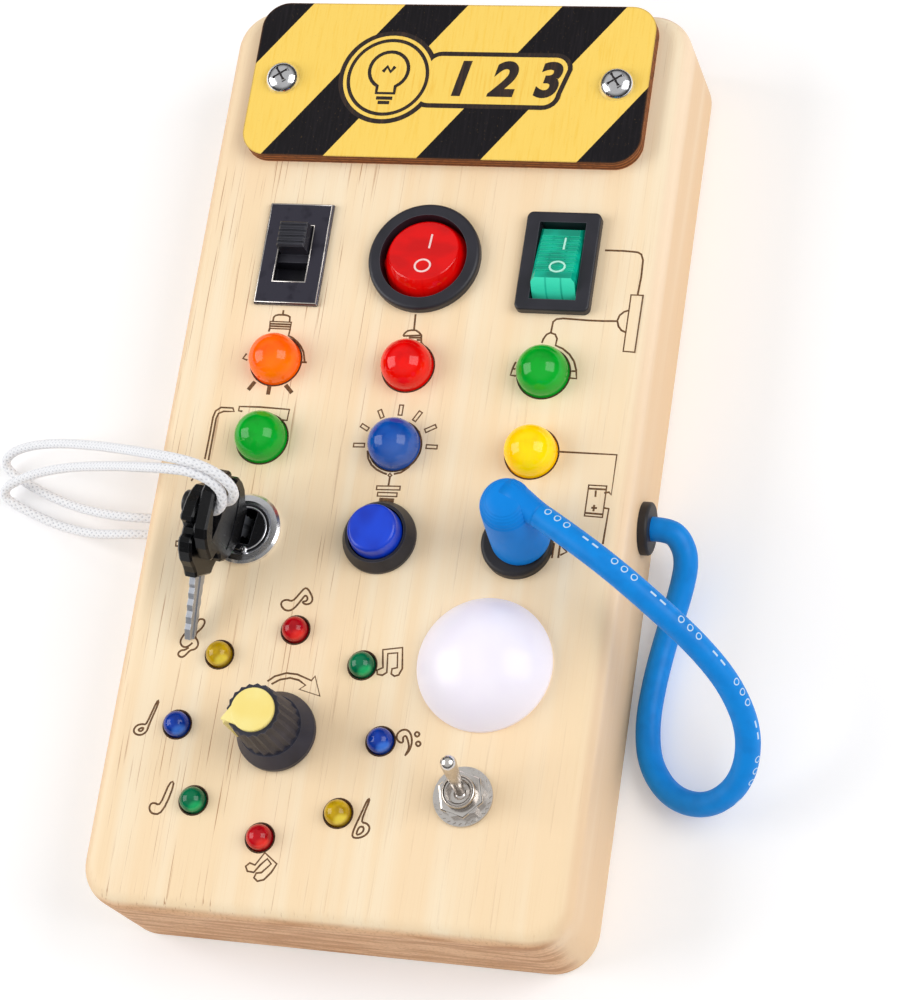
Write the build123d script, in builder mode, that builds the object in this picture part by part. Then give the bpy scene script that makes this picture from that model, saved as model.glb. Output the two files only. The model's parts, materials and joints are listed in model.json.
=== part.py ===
from build123d import *
from math import cos, pi, radians, sin, tan
import os

# Wooden busy board: a routed pine case with switches, lamps, a key lock, a dial and a plug.
# Millimetres. +Z is out of the play face, +Y towards the sign, the origin is under the
# middle of the case, on the surface that its back rests on.

os.makedirs("parts", exist_ok=True)

# ---------------------------------------------------------------- driving dimensions

# Wooden case
case_width = 96.0
case_length = 190.0
case_height = 26.0
case_corner_radius = 8.6
case_top_rounding = 3.4
case_back_chamfer = 0.8
case_wall = 9.0
case_rim = 3.5
face_thickness = 5.0
pocket_corner_radius = 5.0
back_panel_thickness = 3.0

# Clearances
hole_clearance = 0.15
sliding_clearance = 0.3
running_clearance = 0.05
panel_clearance = 0.2
rest_gap = 0.3

# Where things stand on the face. Columns and rows are shares of the case's width and length
# from its middle; the dial keeps its distance from the pocket's lower left corner.
column_shares = [-0.27865, 0.00677, 0.29219]
switch_row_share = 0.20579
upper_lamp_row_share = 0.08526
lower_lamp_row_share = -0.00158
play_row_share = -0.10158
socket_row_share = -0.09947
dial_wall_distance = 25.85
dial_end_distance = 26.8
dial_lamp_circle_radius = 20.4
dome_share_x = 0.26198
dome_share_y = -0.22632
toggle_share_x = 0.25885
toggle_share_y = -0.36053

# Sign
sign_side_margin = 6.5
sign_end_margin = 0.75
sign_height = 34.5
sign_thickness = 3.0
sign_corner_radius = 5.5
sign_screw_inset = 6.5
sign_screw_head_radius = 3.7
sign_screw_head_height = 2.0
sign_screw_shank_radius = 1.4
sign_screw_length = 7.6
sign_screw_point = 1.0
sign_screw_shoulder_reach = 0.72
sign_screw_shoulder_rise = 0.78
recess_length = 4.0
recess_width = 0.9
recess_depth = 1.2
recess_turn = 35

# Back panel screws
panel_screw_head_radius = 2.3
panel_screw_shank_radius = 1.2
panel_screw_length = 10.0
panel_screw_head_depth = 1.3
panel_screw_drive = 0.5
panel_screw_point = 1.5
panel_screw_end_inset = 8.0
pilot_extra_depth = 0.5

# Batteries and their box
battery_radius = 5.25
battery_length = 44.5
battery_count = 3
battery_gap = 0.3
battery_edge = 0.5
battery_nub_radius = 1.9
battery_nub_height = 1.0
battery_crimp_length = 0.6
battery_crimp_depth = 0.8
contact_depth = 2.8
contact_thickness = 0.4
contact_plate_margin = 1.0
contact_spring_radius = 2.6
contact_spring_taper = 20
box_wall = 1.5
box_flange = 2.5
box_flange_thickness = 1.2
box_screw_bay = 8.0
battery_cover_thickness = 1.8
cover_grip_pitch = 2.4
cover_grip_width = 1.0
cover_grip_depth = 0.5
cover_grip_count = 5
cover_screw_radius = 1.2
cover_screw_head_radius = 2.2
cover_screw_head_depth = 1.2
cover_screw_length = 9.0
cover_screw_recess = 0.2
cover_screw_drive = 0.6
cover_screw_point = 1.0

# Control board
board_wall_gap = 3.0
board_width = 44.0
board_length = 50.0
board_thickness = 1.6
board_standoff = 2.0
standoff_radius = 2.5
standoff_inset = 4.0
chip_width, chip_length, chip_height = 6.0, 9.0, 1.6
driver_width, driver_length = 2.0, 5.0
driver_pitch = 4.0
driver_row_spacing = 34.0
driver_count = 8

# Slide switch
slide_plate_width = 13.4
slide_plate_length = 22.0
slide_plate_thickness = 1.0
slide_plate_bevel = 0.35
slide_body_width = 10.4
slide_body_length = 18.4
slide_body_depth = 9.0
slide_slot_width = 6.6
slide_knob_width = 5.9
slide_knob_length = 5.5
slide_knob_height = 3.0
slide_knob_edge = 0.35
slide_travel = 6.0
slide_foot_width = 8.6
slide_foot_length = 9.0
slide_foot_thickness = 3.4
slide_ridges = 4
slide_ridge_depth = 0.35
slide_ridge_gap = 0.5
slide_pin_spacing = 4.5

# Terminals under the switches
pin_width = 0.8
pin_thickness = 0.6
pin_length = 4.0

# Rockers
rocker_flange_thickness = 2.0
rocker_body_depth = 11.5
rocker_floor = 2.0
rocker_pin_spacing = 4.5
rocker_edge_rounding = 0.5
rocker_pivot_depth = 2.5
rocker_tilt = 12.0
rocker_pin_radius = 1.0
rocker_pin_bite = 0.7
rocker_below_pivot = 4.5
rocker_housing_wall = 1.05
round_flange_radius = 11.4
round_flange_rounding = 0.8
round_opening_radius = 8.9
round_rocker_above_pivot = 5.0
square_flange_width = 15.0
square_flange_length = 21.0
square_flange_corner = 1.3
square_flange_rounding = 0.5
square_opening_width = 9.4
square_opening_length = 16.4
square_side_extra = 1.5
square_end_extra = 0.5
square_rocker_above_pivot = 5.4
square_rocker_side_bevel = 0.7
rib_pitch = 0.9
rib_groove_width = 0.4
rib_groove_depth = 0.25
rib_count = 10

# Lamps in the two rows
lamp_radius = 5.05
lamp_flange_radius = 5.6
lamp_flange_thickness = 1.5
lamp_dome_lift = 1.4
lead_size = 0.5
lead_length = 7.0
lead_spread = 1.27

# Small lamps round the dial
small_lamp_radius = 2.5
small_lamp_hole_radius = 2.8
small_lamp_flange_radius = 2.95
small_lamp_flange_thickness = 1.0
small_lamp_dome_lift = 0.5
dial_lamp_count = 8

# Barrels that pass the face, and the nuts behind it
barrel_radius = 6.0
panel_nut_flats = 15.0
panel_nut_thickness = 2.2
barrel_pin_spacing = 2.5

# Push button
button_collar_radius = 7.3
button_collar_edge = 0.8
button_collar_mouth_radius = 6.1
button_collar_height = 3.4
button_barrel_depth = 14.0
button_cap_radius = 5.25
button_cap_top_radius = 4.8
button_cap_height = 6.6
button_cap_below_face = 4.0
button_cap_rounding = 0.9
button_bore_depth = 10.0
spring_wire_radius = 0.3
spring_coil_radius = 3.4
spring_turns = 4

# Key lock
lock_ring_radius = 7.2
lock_ring_height = 1.3
lock_ring_rounding = 0.5
lock_barrel_depth = 18.0
rotor_radius = 5.0
rotor_recess = 0.4
rotor_depth = 15.5

# Keys. The key in the lock is turned by key_yaw, leans back in its play, and the spare
# lies beside it on its edge, turned over, its bow on the bow of the other.
key_seat_gap = 1.05
key_yaw = 7.0
key_lean = 11.3
key_play_along, key_play_across = 0.2, -1.0
key_bow_thickness = 2.8
key_bow_edge = 0.4
key_pair_gap = 0.3
key_slot_half_width = 2.1
key_slot_centre = 14.1
key_slot_round_end = 3.1
key_slot_shoulder = -0.3
key_slot_point = -5.1
key_groove_depth = 0.35
key_blade_thickness = 1.2
key_blade_length = 12.6
key_blade_groove_width = 1.0
key_blade_groove_depth = 0.35
key_tang_width = 4.0
key_tang_length = 3.0
keyway_length = 7.4
keyway_width = 3.5
keyway_shift = 0.6
keyway_clearance = 0.3
spare_key_back, spare_key_rise = 12.65, 4.25
spare_key_tilt = 25.4

# Cords of the keys
tether_diameter = 2.0
tether_spacing = 2.04
tether_hole_clearance = 0.2
tether_exit_z = 12.0
tether_exit_y = [-13.6, -17.0]
bead_radius = 2.4
bead_length = 1.2
bead_rounding = 0.4
bead_gap = 0.3
knot_size = 4.6
knot_rounding = 2.0
knot_depth = 4.0

# Plug and its socket
socket_disc_radius = 6.9
socket_disc_thickness = 2.2
socket_disc_rounding = 0.8
socket_barrel_depth = 15.0
socket_bore_radius = 3.0
plug_pin_radius = 2.9
plug_pin_length = 9.5
plug_base_radius = 5.9
plug_top_radius = 5.0
plug_height = 15.1
plug_offset_x, plug_offset_y = 1.0, 0.9
plug_pin_tip = 0.4
plug_seat_gap = 0.1
plug_lean_x, plug_lean_y = -0.2, 2.2
plug_top_rounding = 2.0
plug_neck_radius = 2.7
plug_neck_reach = 6.5
plug_neck_drop = 2.9
plug_neck_angle = -29.8
plug_neck_offset = 1.6
plug_lead = 5.0

# Cable
cable_diameter = 4.8
grommet_y, grommet_z = -9.0, 10.9
grommet_flange_radius = 5.2
grommet_flange_thickness = 1.9
grommet_sleeve_radius = 3.7
grommet_rounding = 0.6
cable_tail_length = 4.0
crimp_radius = 3.2
crimp_length = 3.0

# Dial
pot_body_radius = 8.3
pot_body_depth = 8.0
pot_bushing_radius = 3.5
pot_bushing_rise = 2.6
pot_nut_flats = 10.0
pot_nut_thickness = 2.0
pot_floor = 1.0
pot_terminal_width = 1.2
pot_terminal_length = 8.0
pot_terminal_pitch = 5.0
pot_terminal_count = 3
pot_terminal_bite = 0.5
shaft_radius = 3.0
shaft_rise = 13.5
knob_float = 0.5
knob_skirt_radius = 7.7
knob_skirt_height = 1.6
knob_shoulder_radius = 6.1
knob_shoulder_z = 5.0
knob_grip_radius = 5.9
knob_top_radius = 5.2
knob_top_z = 15.4
knob_flutes = 20
knob_flute_depth = 0.35
knob_cavity_radius = 6.2
knob_cavity_height = 3.0
cap_radius = 4.2
cap_depth = 0.8
cap_rise = 0.8
cap_rounding = 0.3
pointer_reach = 6.3
pointer_width = 1.1
pointer_angle = 201.0
pointer_root = 3.2
pointer_side_bite = 0.2
pointer_side_rise = 0.6
pointer_foot = 0.5
pointer_beak_drop = 1.6
pointer_beak_edge = 0.4

# Dome lamp
dome_radius = 13.05
dome_rim = 0.7
dome_rise = 7.6
dome_stem_radius = 11.4
dome_stem_depth = 6.5
dome_wall = 1.4
lamp_board_thickness = 1.6
lamp_base_gap = 0.3
lamp_base_thickness = 1.0
emitter_size = 5.0
emitter_pitch = 7.0
emitter_height = 1.4

# Toggle switch
toggle_bushing_radius = 3.0
toggle_bushing_rise = 4.2
toggle_bore_radius = 2.1
toggle_bushing_edge = 0.35
toggle_terminal_spacing = 4.5
toggle_body_width = 8.0
toggle_body_length = 13.0
toggle_body_depth = 9.5
toggle_washer_radius = 5.7
toggle_washer_thickness = 0.6
toggle_nut_flats = 8.0
toggle_nut_thickness = 2.0
toggle_nut_turn = 15
toggle_pivot_lift = 1.4
toggle_ball_radius = 1.8
toggle_pin_radius = 0.6
toggle_pin_bite = 0.5
toggle_neck_radius = 0.95
toggle_tip_radius = 1.55
toggle_lever_length = 13.6
toggle_tail_radius = 0.8
toggle_tail_length = 3.2
toggle_neck_start = 1.0
toggle_tilt = 14.0

# ---------------------------------------------------------------- sizes worked out

face_z = case_height
under_face_z = face_z - face_thickness
panel_top_z = back_panel_thickness
rebate_width = case_width - 2 * case_rim
rebate_length = case_length - 2 * case_rim
pocket_width = case_width - 2 * case_wall
pocket_length = case_length - 2 * case_wall
rebate_corner_radius = case_corner_radius - case_rim
wall_x = case_width / 2
column_x = [share * case_width for share in column_shares]
lock_x, button_x, socket_x = column_x
switch_row_y = switch_row_share * case_length
upper_lamp_row_y = upper_lamp_row_share * case_length
lower_lamp_row_y = lower_lamp_row_share * case_length
play_row_y = play_row_share * case_length
socket_y = socket_row_share * case_length
dial_x = dial_wall_distance - pocket_width / 2
dial_y = dial_end_distance - pocket_length / 2
dome_x, dome_y = dome_share_x * case_width, dome_share_y * case_length
toggle_x, toggle_y = toggle_share_x * case_width, toggle_share_y * case_length
sign_width = case_width - 2 * sign_side_margin
sign_y = case_length / 2 - sign_end_margin - sign_height / 2
sign_screw_x = sign_width / 2 - sign_screw_inset
square_body_width = square_opening_width + 2 * rocker_housing_wall + square_side_extra
square_body_length = square_opening_length + 2 * rocker_housing_wall + square_end_extra


def on_face(x, y, height=0.0):
    """A plane parallel to the play face, its origin over (x, y)."""
    return Plane(origin=(x, y, face_z + height))


def profile_plane(x, y):
    """An upright plane through (x, y): its x is +X and its y is the row's Z."""
    return Plane(origin=(x, y, 0), x_dir=(1, 0, 0), z_dir=(0, -1, 0))


def upright_axis(x, y):
    """The vertical axis over (x, y), to revolve a profile about."""
    return Axis((x, y, 0), (0, 0, 1))


def finish(solid, name):
    """Label a finished piece and write its STEP file."""
    solid.label = name
    export_step(solid, f"parts/{name}.step")


def cord_radii(points, name):
    """Each corner's arc: 0.45 of the shorter run over the tangent of half the turn."""
    vectors = [Vector(*point) for point in points]
    radii = []
    for before, corner, after in zip(vectors, vectors[1:], vectors[2:]):
        run_in, run_out = corner - before, after - corner
        half_turn = radians(run_in.get_angle(run_out)) / 2
        radii.append(0.45 * min(run_in.length, run_out.length) / tan(half_turn))
    print(name, "corner radii", [round(radius, 1) for radius in radii])
    return radii


def make_cord(points, diameter, name):
    """A cord's tube along straight runs that tangent arcs join."""
    with BuildPart() as cord:
        with BuildLine() as route:
            FilletPolyline(*points, radius=cord_radii(points, name))
        path = route.wire()
        with BuildSketch(Plane(origin=path @ 0, z_dir=path % 0)):
            Circle(diameter / 2)
        sweep(path=path)
    cord_length = path.length
    section = pi * diameter ** 2 / 4
    print(name, "length", round(cord_length, 1), "volume ratio",
          round(cord.part.volume / (section * cord_length), 4))
    finish(cord.part, name)


def add_pins(places, top_z):
    """Terminals that hang from a switch body at the places given, inside an open part."""
    with BuildSketch(Plane.XY.offset(top_z)) as pins:
        with Locations(*places):
            Rectangle(pin_width, pin_thickness)
    extrude(pins.sketch, amount=-pin_length)


# ---------------------------------------------------------------- wooden case

upper_lamp_places = [(x, upper_lamp_row_y) for x in column_x]
lower_lamp_places = [(x, lower_lamp_row_y) for x in column_x]
dial_lamp_places = [
    (
        dial_x + dial_lamp_circle_radius * cos(radians(90 - 360 / dial_lamp_count * step)),
        dial_y + dial_lamp_circle_radius * sin(radians(90 - 360 / dial_lamp_count * step)),
    )
    for step in range(dial_lamp_count)
]
barrel_places = [(lock_x, play_row_y), (button_x, play_row_y), (socket_x, socket_y)]
sign_screw_places = [(-sign_screw_x, sign_y), (sign_screw_x, sign_y)]
ledge_x = (rebate_width + pocket_width) / 4
ledge_y = (rebate_length + pocket_length) / 4
end_screw_y = ledge_y - panel_screw_end_inset
panel_screw_places = [(side * ledge_x, y) for side in (-1, 1) for y in (-end_screw_y, 0, end_screw_y)]
pilot_top_z = panel_screw_length + pilot_extra_depth

with BuildPart() as wooden_case:
    with BuildSketch():
        RectangleRounded(case_width, case_length, case_corner_radius)
    extrude(amount=case_height)
    fillet(wooden_case.edges().group_by(Axis.Z)[-1], radius=case_top_rounding)
    chamfer(wooden_case.edges().group_by(Axis.Z)[0], length=case_back_chamfer)
    with BuildSketch():
        RectangleRounded(rebate_width, rebate_length, rebate_corner_radius)
    extrude(amount=panel_top_z, mode=Mode.SUBTRACT)
    with BuildSketch(Plane.XY.offset(panel_top_z)):
        RectangleRounded(pocket_width, pocket_length, pocket_corner_radius)
    extrude(amount=under_face_z - panel_top_z, mode=Mode.SUBTRACT)
    # Holes through the face
    with BuildSketch(Plane.XY.offset(under_face_z)):
        with Locations(*upper_lamp_places, *lower_lamp_places):
            Circle(lamp_radius + hole_clearance)
        with Locations(*dial_lamp_places):
            Circle(small_lamp_hole_radius)
        with Locations(*barrel_places):
            Circle(barrel_radius + hole_clearance)
        with Locations((dial_x, dial_y)):
            Circle(pot_bushing_radius + hole_clearance)
        with Locations((toggle_x, toggle_y)):
            Circle(toggle_bushing_radius + hole_clearance)
        with Locations((dome_x, dome_y)):
            Circle(dome_stem_radius + hole_clearance)
        with Locations((column_x[1], switch_row_y)):
            Circle(round_opening_radius + rocker_housing_wall + hole_clearance)
        with Locations((column_x[2], switch_row_y)):
            Rectangle(square_body_width + 2 * hole_clearance, square_body_length + 2 * hole_clearance)
        with Locations((column_x[0], switch_row_y)):
            Rectangle(slide_body_width + 2 * hole_clearance, slide_body_length + 2 * hole_clearance)
        with Locations(*sign_screw_places):
            Circle(sign_screw_shank_radius)
    extrude(amount=face_thickness, mode=Mode.SUBTRACT)
    # Pilot holes for the back panel's screws
    with BuildSketch(Plane.XY.offset(panel_top_z)):
        with Locations(*panel_screw_places):
            Circle(panel_screw_shank_radius)
    extrude(amount=pilot_top_z - panel_top_z, mode=Mode.SUBTRACT)
    # The cable's hole in the right wall, and the two cord holes in the left wall
    with BuildSketch(Plane(origin=(wall_x, grommet_y, grommet_z), x_dir=(0, 1, 0), z_dir=(-1, 0, 0))):
        Circle(grommet_sleeve_radius + hole_clearance)
    extrude(amount=case_wall, mode=Mode.SUBTRACT)
    with BuildSketch(Plane(origin=(-wall_x, 0, tether_exit_z), x_dir=(0, 1, 0), z_dir=(1, 0, 0))):
        with Locations(*[(y, 0) for y in tether_exit_y]):
            Circle(tether_diameter / 2 + tether_hole_clearance)
    extrude(amount=case_wall, mode=Mode.SUBTRACT)
finish(wooden_case.part, "wooden_case")

# ---------------------------------------------------------------- batteries and back

bank_width = battery_count * 2 * battery_radius + (battery_count - 1) * battery_gap
cell_bay = battery_length + 2 * contact_depth
box_inner_width = cell_bay + box_wall + box_screw_bay
box_inner_length = bank_width + 2 * battery_gap
box_outer_width = box_inner_width + 2 * box_wall
box_outer_length = box_inner_length + 2 * box_wall
box_inner_height = 2 * battery_radius + battery_gap
box_top_z = battery_cover_thickness + box_inner_height + box_wall
battery_box_y = pocket_length / 2 - rest_gap - box_outer_length / 2
cell_bay_x = -(box_wall + box_screw_bay) / 2
screw_bay_x = box_inner_width / 2 - box_screw_bay / 2
battery_z = battery_cover_thickness + battery_radius + battery_gap / 2
battery_ys = [
    battery_box_y + (index - (battery_count - 1) / 2) * (2 * battery_radius + battery_gap)
    for index in range(battery_count)
]

with BuildPart() as back_panel:
    with BuildSketch():
        RectangleRounded(rebate_width - 2 * panel_clearance, rebate_length - 2 * panel_clearance,
                         rebate_corner_radius - panel_clearance)
    extrude(amount=back_panel_thickness)
    with BuildSketch():
        with Locations((0, battery_box_y)):
            Rectangle(box_outer_width + 2 * panel_clearance, box_outer_length + 2 * panel_clearance)
    extrude(amount=back_panel_thickness, mode=Mode.SUBTRACT)
    with BuildSketch():
        with Locations(*panel_screw_places):
            Circle(panel_screw_shank_radius)
    extrude(amount=back_panel_thickness, mode=Mode.SUBTRACT)
    for x, y in panel_screw_places:
        with BuildSketch(profile_plane(x, y)):
            with BuildLine():
                Polyline((0, 0), (panel_screw_head_radius, 0),
                         (panel_screw_shank_radius, panel_screw_head_depth),
                         (0, panel_screw_head_depth), close=True)
            make_face()
        revolve(axis=upright_axis(x, y), mode=Mode.SUBTRACT)
finish(back_panel.part, "back_panel")

with BuildPart() as back_panel_screws:
    for x, y in panel_screw_places:
        with BuildSketch(profile_plane(x, y)):
            with BuildLine():
                Polyline((0, panel_screw_drive), (panel_screw_drive, 0), (panel_screw_head_radius, 0),
                         (panel_screw_shank_radius, panel_screw_head_depth),
                         (panel_screw_shank_radius, panel_screw_length - panel_screw_point),
                         (0, panel_screw_length), close=True)
            make_face()
        revolve(axis=upright_axis(x, y))
finish(back_panel_screws.part, "back_panel_screws")

with BuildPart() as battery_box:
    with BuildSketch(Plane.XY.offset(battery_cover_thickness)):
        with Locations((0, battery_box_y)):
            Rectangle(box_outer_width, box_outer_length)
    extrude(amount=box_top_z - battery_cover_thickness)
    with BuildSketch(Plane.XY.offset(battery_cover_thickness)):
        with Locations((cell_bay_x, battery_box_y)):
            Rectangle(cell_bay, box_inner_length)
    extrude(amount=box_inner_height, mode=Mode.SUBTRACT)
    with BuildSketch(Plane.XY.offset(panel_top_z)):
        with Locations((0, battery_box_y)):
            Rectangle(box_outer_width + 2 * box_flange, box_outer_length)
            Rectangle(box_outer_width, box_outer_length, mode=Mode.SUBTRACT)
    extrude(amount=box_flange_thickness)
    with BuildSketch(Plane.XY.offset(battery_cover_thickness)):
        with Locations((screw_bay_x, battery_box_y)):
            Circle(cover_screw_radius)
    extrude(amount=cover_screw_length, mode=Mode.SUBTRACT)
finish(battery_box.part, "battery_box")

can_end = battery_length - battery_nub_height
with BuildPart() as batteries:
    for y in battery_ys:
        start_x = cell_bay_x - battery_length / 2
        with BuildSketch(Plane(origin=(start_x, y, battery_z), x_dir=(1, 0, 0), z_dir=(0, -1, 0))):
            with BuildLine():
                Polyline((0, 0), (0, battery_radius - battery_edge), (battery_edge, battery_radius),
                         (can_end - battery_crimp_length, battery_radius),
                         (can_end, battery_radius - battery_crimp_depth),
                         (can_end, battery_nub_radius), (battery_length, battery_nub_radius),
                         (battery_length, 0), close=True)
            make_face()
        revolve(axis=Axis((0, y, battery_z), (1, 0, 0)))
finish(batteries.part, "batteries")

contact_plate_size = 2 * (battery_radius - contact_plate_margin)
with BuildPart() as battery_contacts:
    for side in (-1, 1):
        plate_x = cell_bay_x + side * (cell_bay / 2 - contact_thickness)
        for y in battery_ys:
            with BuildSketch(Plane(origin=(plate_x, y, battery_z), x_dir=(0, 1, 0), z_dir=(side, 0, 0))):
                Rectangle(contact_plate_size, contact_plate_size)
            extrude(amount=contact_thickness)
            with BuildSketch(Plane(origin=(plate_x, y, battery_z), x_dir=(0, 1, 0), z_dir=(-side, 0, 0))):
                Circle(contact_spring_radius)
            extrude(amount=contact_depth - contact_thickness, taper=contact_spring_taper)
finish(battery_contacts.part, "battery_contacts")

with BuildPart() as battery_cover:
    with BuildSketch():
        with Locations((0, battery_box_y)):
            Rectangle(box_outer_width, box_outer_length)
    extrude(amount=battery_cover_thickness)
    with BuildSketch():
        with Locations((cell_bay_x - cell_bay / 4, battery_box_y)):
            with GridLocations(cover_grip_pitch, 0, cover_grip_count, 1):
                Rectangle(cover_grip_width, box_inner_length / 2)
    extrude(amount=cover_grip_depth, mode=Mode.SUBTRACT)
    with BuildSketch(profile_plane(screw_bay_x, battery_box_y)):
        with BuildLine():
            Polyline((0, 0), (cover_screw_head_radius, 0), (cover_screw_head_radius, cover_screw_head_depth),
                     (cover_screw_radius, cover_screw_head_depth),
                     (cover_screw_radius, battery_cover_thickness), (0, battery_cover_thickness), close=True)
        make_face()
    revolve(axis=upright_axis(screw_bay_x, battery_box_y), mode=Mode.SUBTRACT)
finish(battery_cover.part, "battery_cover")

with BuildPart() as battery_cover_screw:
    with BuildSketch(profile_plane(screw_bay_x, battery_box_y)):
        with BuildLine():
            Polyline((0, cover_screw_recess + cover_screw_drive), (cover_screw_drive, cover_screw_recess),
                     (cover_screw_head_radius, cover_screw_recess),
                     (cover_screw_head_radius, cover_screw_head_depth),
                     (cover_screw_radius, cover_screw_head_depth),
                     (cover_screw_radius, cover_screw_length - cover_screw_point),
                     (0, cover_screw_length), close=True)
        make_face()
    revolve(axis=upright_axis(screw_bay_x, battery_box_y))
finish(battery_cover_screw.part, "battery_cover_screw")

# ---------------------------------------------------------------- control board

board_x = board_wall_gap + board_width / 2 - pocket_width / 2
board_y = board_wall_gap + board_length / 2 - pocket_length / 2
board_z = panel_top_z + board_standoff
with BuildPart() as control_board:
    with BuildSketch(Plane.XY.offset(board_z)):
        with Locations((board_x, board_y)):
            Rectangle(board_width, board_length)
    extrude(amount=board_thickness)
    with BuildSketch(Plane.XY.offset(board_z + board_thickness)):
        with Locations((board_x, board_y)):
            Rectangle(chip_width, chip_length)
            with GridLocations(driver_pitch, driver_row_spacing, driver_count, 2):
                Rectangle(driver_width, driver_length)
    extrude(amount=chip_height)
finish(control_board.part, "control_board")

with BuildPart() as board_standoffs:
    with BuildSketch(Plane.XY.offset(panel_top_z)):
        with Locations((board_x, board_y)):
            with GridLocations(board_width - 2 * standoff_inset, board_length - 2 * standoff_inset, 2, 2):
                Circle(standoff_radius)
    extrude(amount=board_standoff)
finish(board_standoffs.part, "board_standoffs")

# ---------------------------------------------------------------- sign

with BuildPart() as sign_plate:
    with BuildSketch(on_face(0, sign_y)):
        RectangleRounded(sign_width, sign_height, sign_corner_radius)
        with Locations((-sign_screw_x, 0), (sign_screw_x, 0)):
            Circle(sign_screw_shank_radius, mode=Mode.SUBTRACT)
    extrude(amount=sign_thickness)
finish(sign_plate.part, "sign_plate")

with BuildPart() as sign_screws:
    head_z = face_z + sign_thickness
    tip_z = head_z + sign_thickness - sign_screw_length
    for x, y in sign_screw_places:
        with BuildSketch(profile_plane(x, y)):
            with BuildLine():
                head_edge = (sign_screw_head_radius, head_z)
                crown = (0, head_z + sign_screw_head_height)
                shoulder = (sign_screw_head_radius * sign_screw_shoulder_reach,
                            head_z + sign_screw_head_height * sign_screw_shoulder_rise)
                Polyline(crown, (0, tip_z), (sign_screw_shank_radius, tip_z + sign_screw_point),
                         (sign_screw_shank_radius, head_z), head_edge)
                ThreePointArc(head_edge, shoulder, crown)
            make_face()
        revolve(axis=upright_axis(x, y))
    # Cross recess
    with BuildSketch(Plane.XY.offset(head_z + sign_screw_head_height)):
        with Locations(*[Location((x, y), recess_turn) for x, y in sign_screw_places]):
            Rectangle(recess_length, recess_width)
            Rectangle(recess_width, recess_length)
    extrude(amount=-recess_depth, mode=Mode.SUBTRACT)
finish(sign_screws.part, "sign_screws")

# ---------------------------------------------------------------- slide switch

slide_x = column_x[0]
slide_slot_length = slide_knob_length + slide_travel + 2 * sliding_clearance
slide_rest_y = switch_row_y + slide_travel / 2
slide_cavity_width = slide_foot_width + 2 * sliding_clearance
slide_cavity_length = slide_foot_length + slide_travel + 2 * sliding_clearance
slide_cavity_depth = slide_foot_thickness + 2 * sliding_clearance

with BuildPart() as slide_switch_plate:
    with BuildSketch(on_face(slide_x, switch_row_y)):
        Rectangle(slide_plate_width, slide_plate_length)
    extrude(amount=slide_plate_thickness)
    chamfer(slide_switch_plate.faces().sort_by(Axis.Z)[-1].edges(), length=slide_plate_bevel)
    with BuildSketch(on_face(slide_x, switch_row_y)):
        Rectangle(slide_slot_width, slide_slot_length)
    extrude(amount=slide_plate_thickness, mode=Mode.SUBTRACT)
finish(slide_switch_plate.part, "slide_switch_plate")

with BuildPart() as slide_switch_body:
    with BuildSketch(on_face(slide_x, switch_row_y)):
        Rectangle(slide_body_width, slide_body_length)
    extrude(amount=-slide_body_depth)
    with BuildSketch(on_face(slide_x, switch_row_y)):
        Rectangle(slide_cavity_width, slide_cavity_length)
    extrude(amount=-slide_cavity_depth, mode=Mode.SUBTRACT)
    add_pins([(slide_x, switch_row_y + step * slide_pin_spacing) for step in (-1, 0, 1)],
             face_z - slide_body_depth)
finish(slide_switch_body.part, "slide_switch_body")

with BuildPart() as slide_switch_slider:
    with BuildSketch(on_face(slide_x, slide_rest_y, -sliding_clearance)):
        Rectangle(slide_foot_width, slide_foot_length)
    extrude(amount=-slide_foot_thickness)
    with BuildSketch(on_face(slide_x, slide_rest_y, -sliding_clearance)):
        Rectangle(slide_knob_width, slide_knob_length)
    extrude(amount=slide_plate_thickness + slide_knob_height + sliding_clearance)
    knob_top_edges = slide_switch_slider.faces().sort_by(Axis.Z)[-1].edges()
    chamfer(knob_top_edges, length=slide_knob_edge)
    with BuildSketch(on_face(slide_x, slide_rest_y, slide_plate_thickness + slide_knob_height)):
        with GridLocations(0, slide_knob_length / (slide_ridges + 0.5), 1, slide_ridges):
            Rectangle(slide_knob_width, slide_ridge_gap)
    extrude(amount=-slide_ridge_depth, mode=Mode.SUBTRACT)
finish(slide_switch_slider.part, "slide_switch_slider")

# ---------------------------------------------------------------- rockers

round_x, square_x = column_x[1], column_x[2]
pivot_z = face_z - rocker_pivot_depth
round_rocker_radius = round_opening_radius - sliding_clearance
square_rocker_end_radius = square_opening_length / 2 - sliding_clearance
square_rocker_half_width = square_opening_width / 2 - sliding_clearance
rocker_cavity_depth = rocker_body_depth + rocker_flange_thickness - rocker_floor


def pivot_plane(x, y, offset):
    """A plane square to the rocker's pivot axis, offset along +X from the switch's middle."""
    return Plane(origin=(x + offset, y, pivot_z), x_dir=(0, 1, 0), z_dir=(1, 0, 0))


with BuildPart() as round_rocker_housing:
    with BuildSketch(on_face(round_x, switch_row_y)):
        Circle(round_flange_radius)
    extrude(amount=rocker_flange_thickness)
    fillet(round_rocker_housing.edges().group_by(Axis.Z)[-1], radius=round_flange_rounding)
    with BuildSketch(on_face(round_x, switch_row_y)):
        Circle(round_opening_radius + rocker_housing_wall)
    extrude(amount=-rocker_body_depth)
    with BuildSketch(on_face(round_x, switch_row_y, rocker_flange_thickness)):
        Circle(round_opening_radius)
    extrude(amount=-rocker_cavity_depth, mode=Mode.SUBTRACT)
    with BuildSketch(pivot_plane(round_x, switch_row_y, -round_opening_radius - rocker_pin_bite)):
        Circle(rocker_pin_radius + running_clearance)
    extrude(amount=2 * (round_opening_radius + rocker_pin_bite), mode=Mode.SUBTRACT)
    add_pins([(round_x, switch_row_y + side * rocker_pin_spacing) for side in (-1, 1)],
             face_z - rocker_body_depth)
finish(round_rocker_housing.part, "round_rocker_housing")

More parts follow.
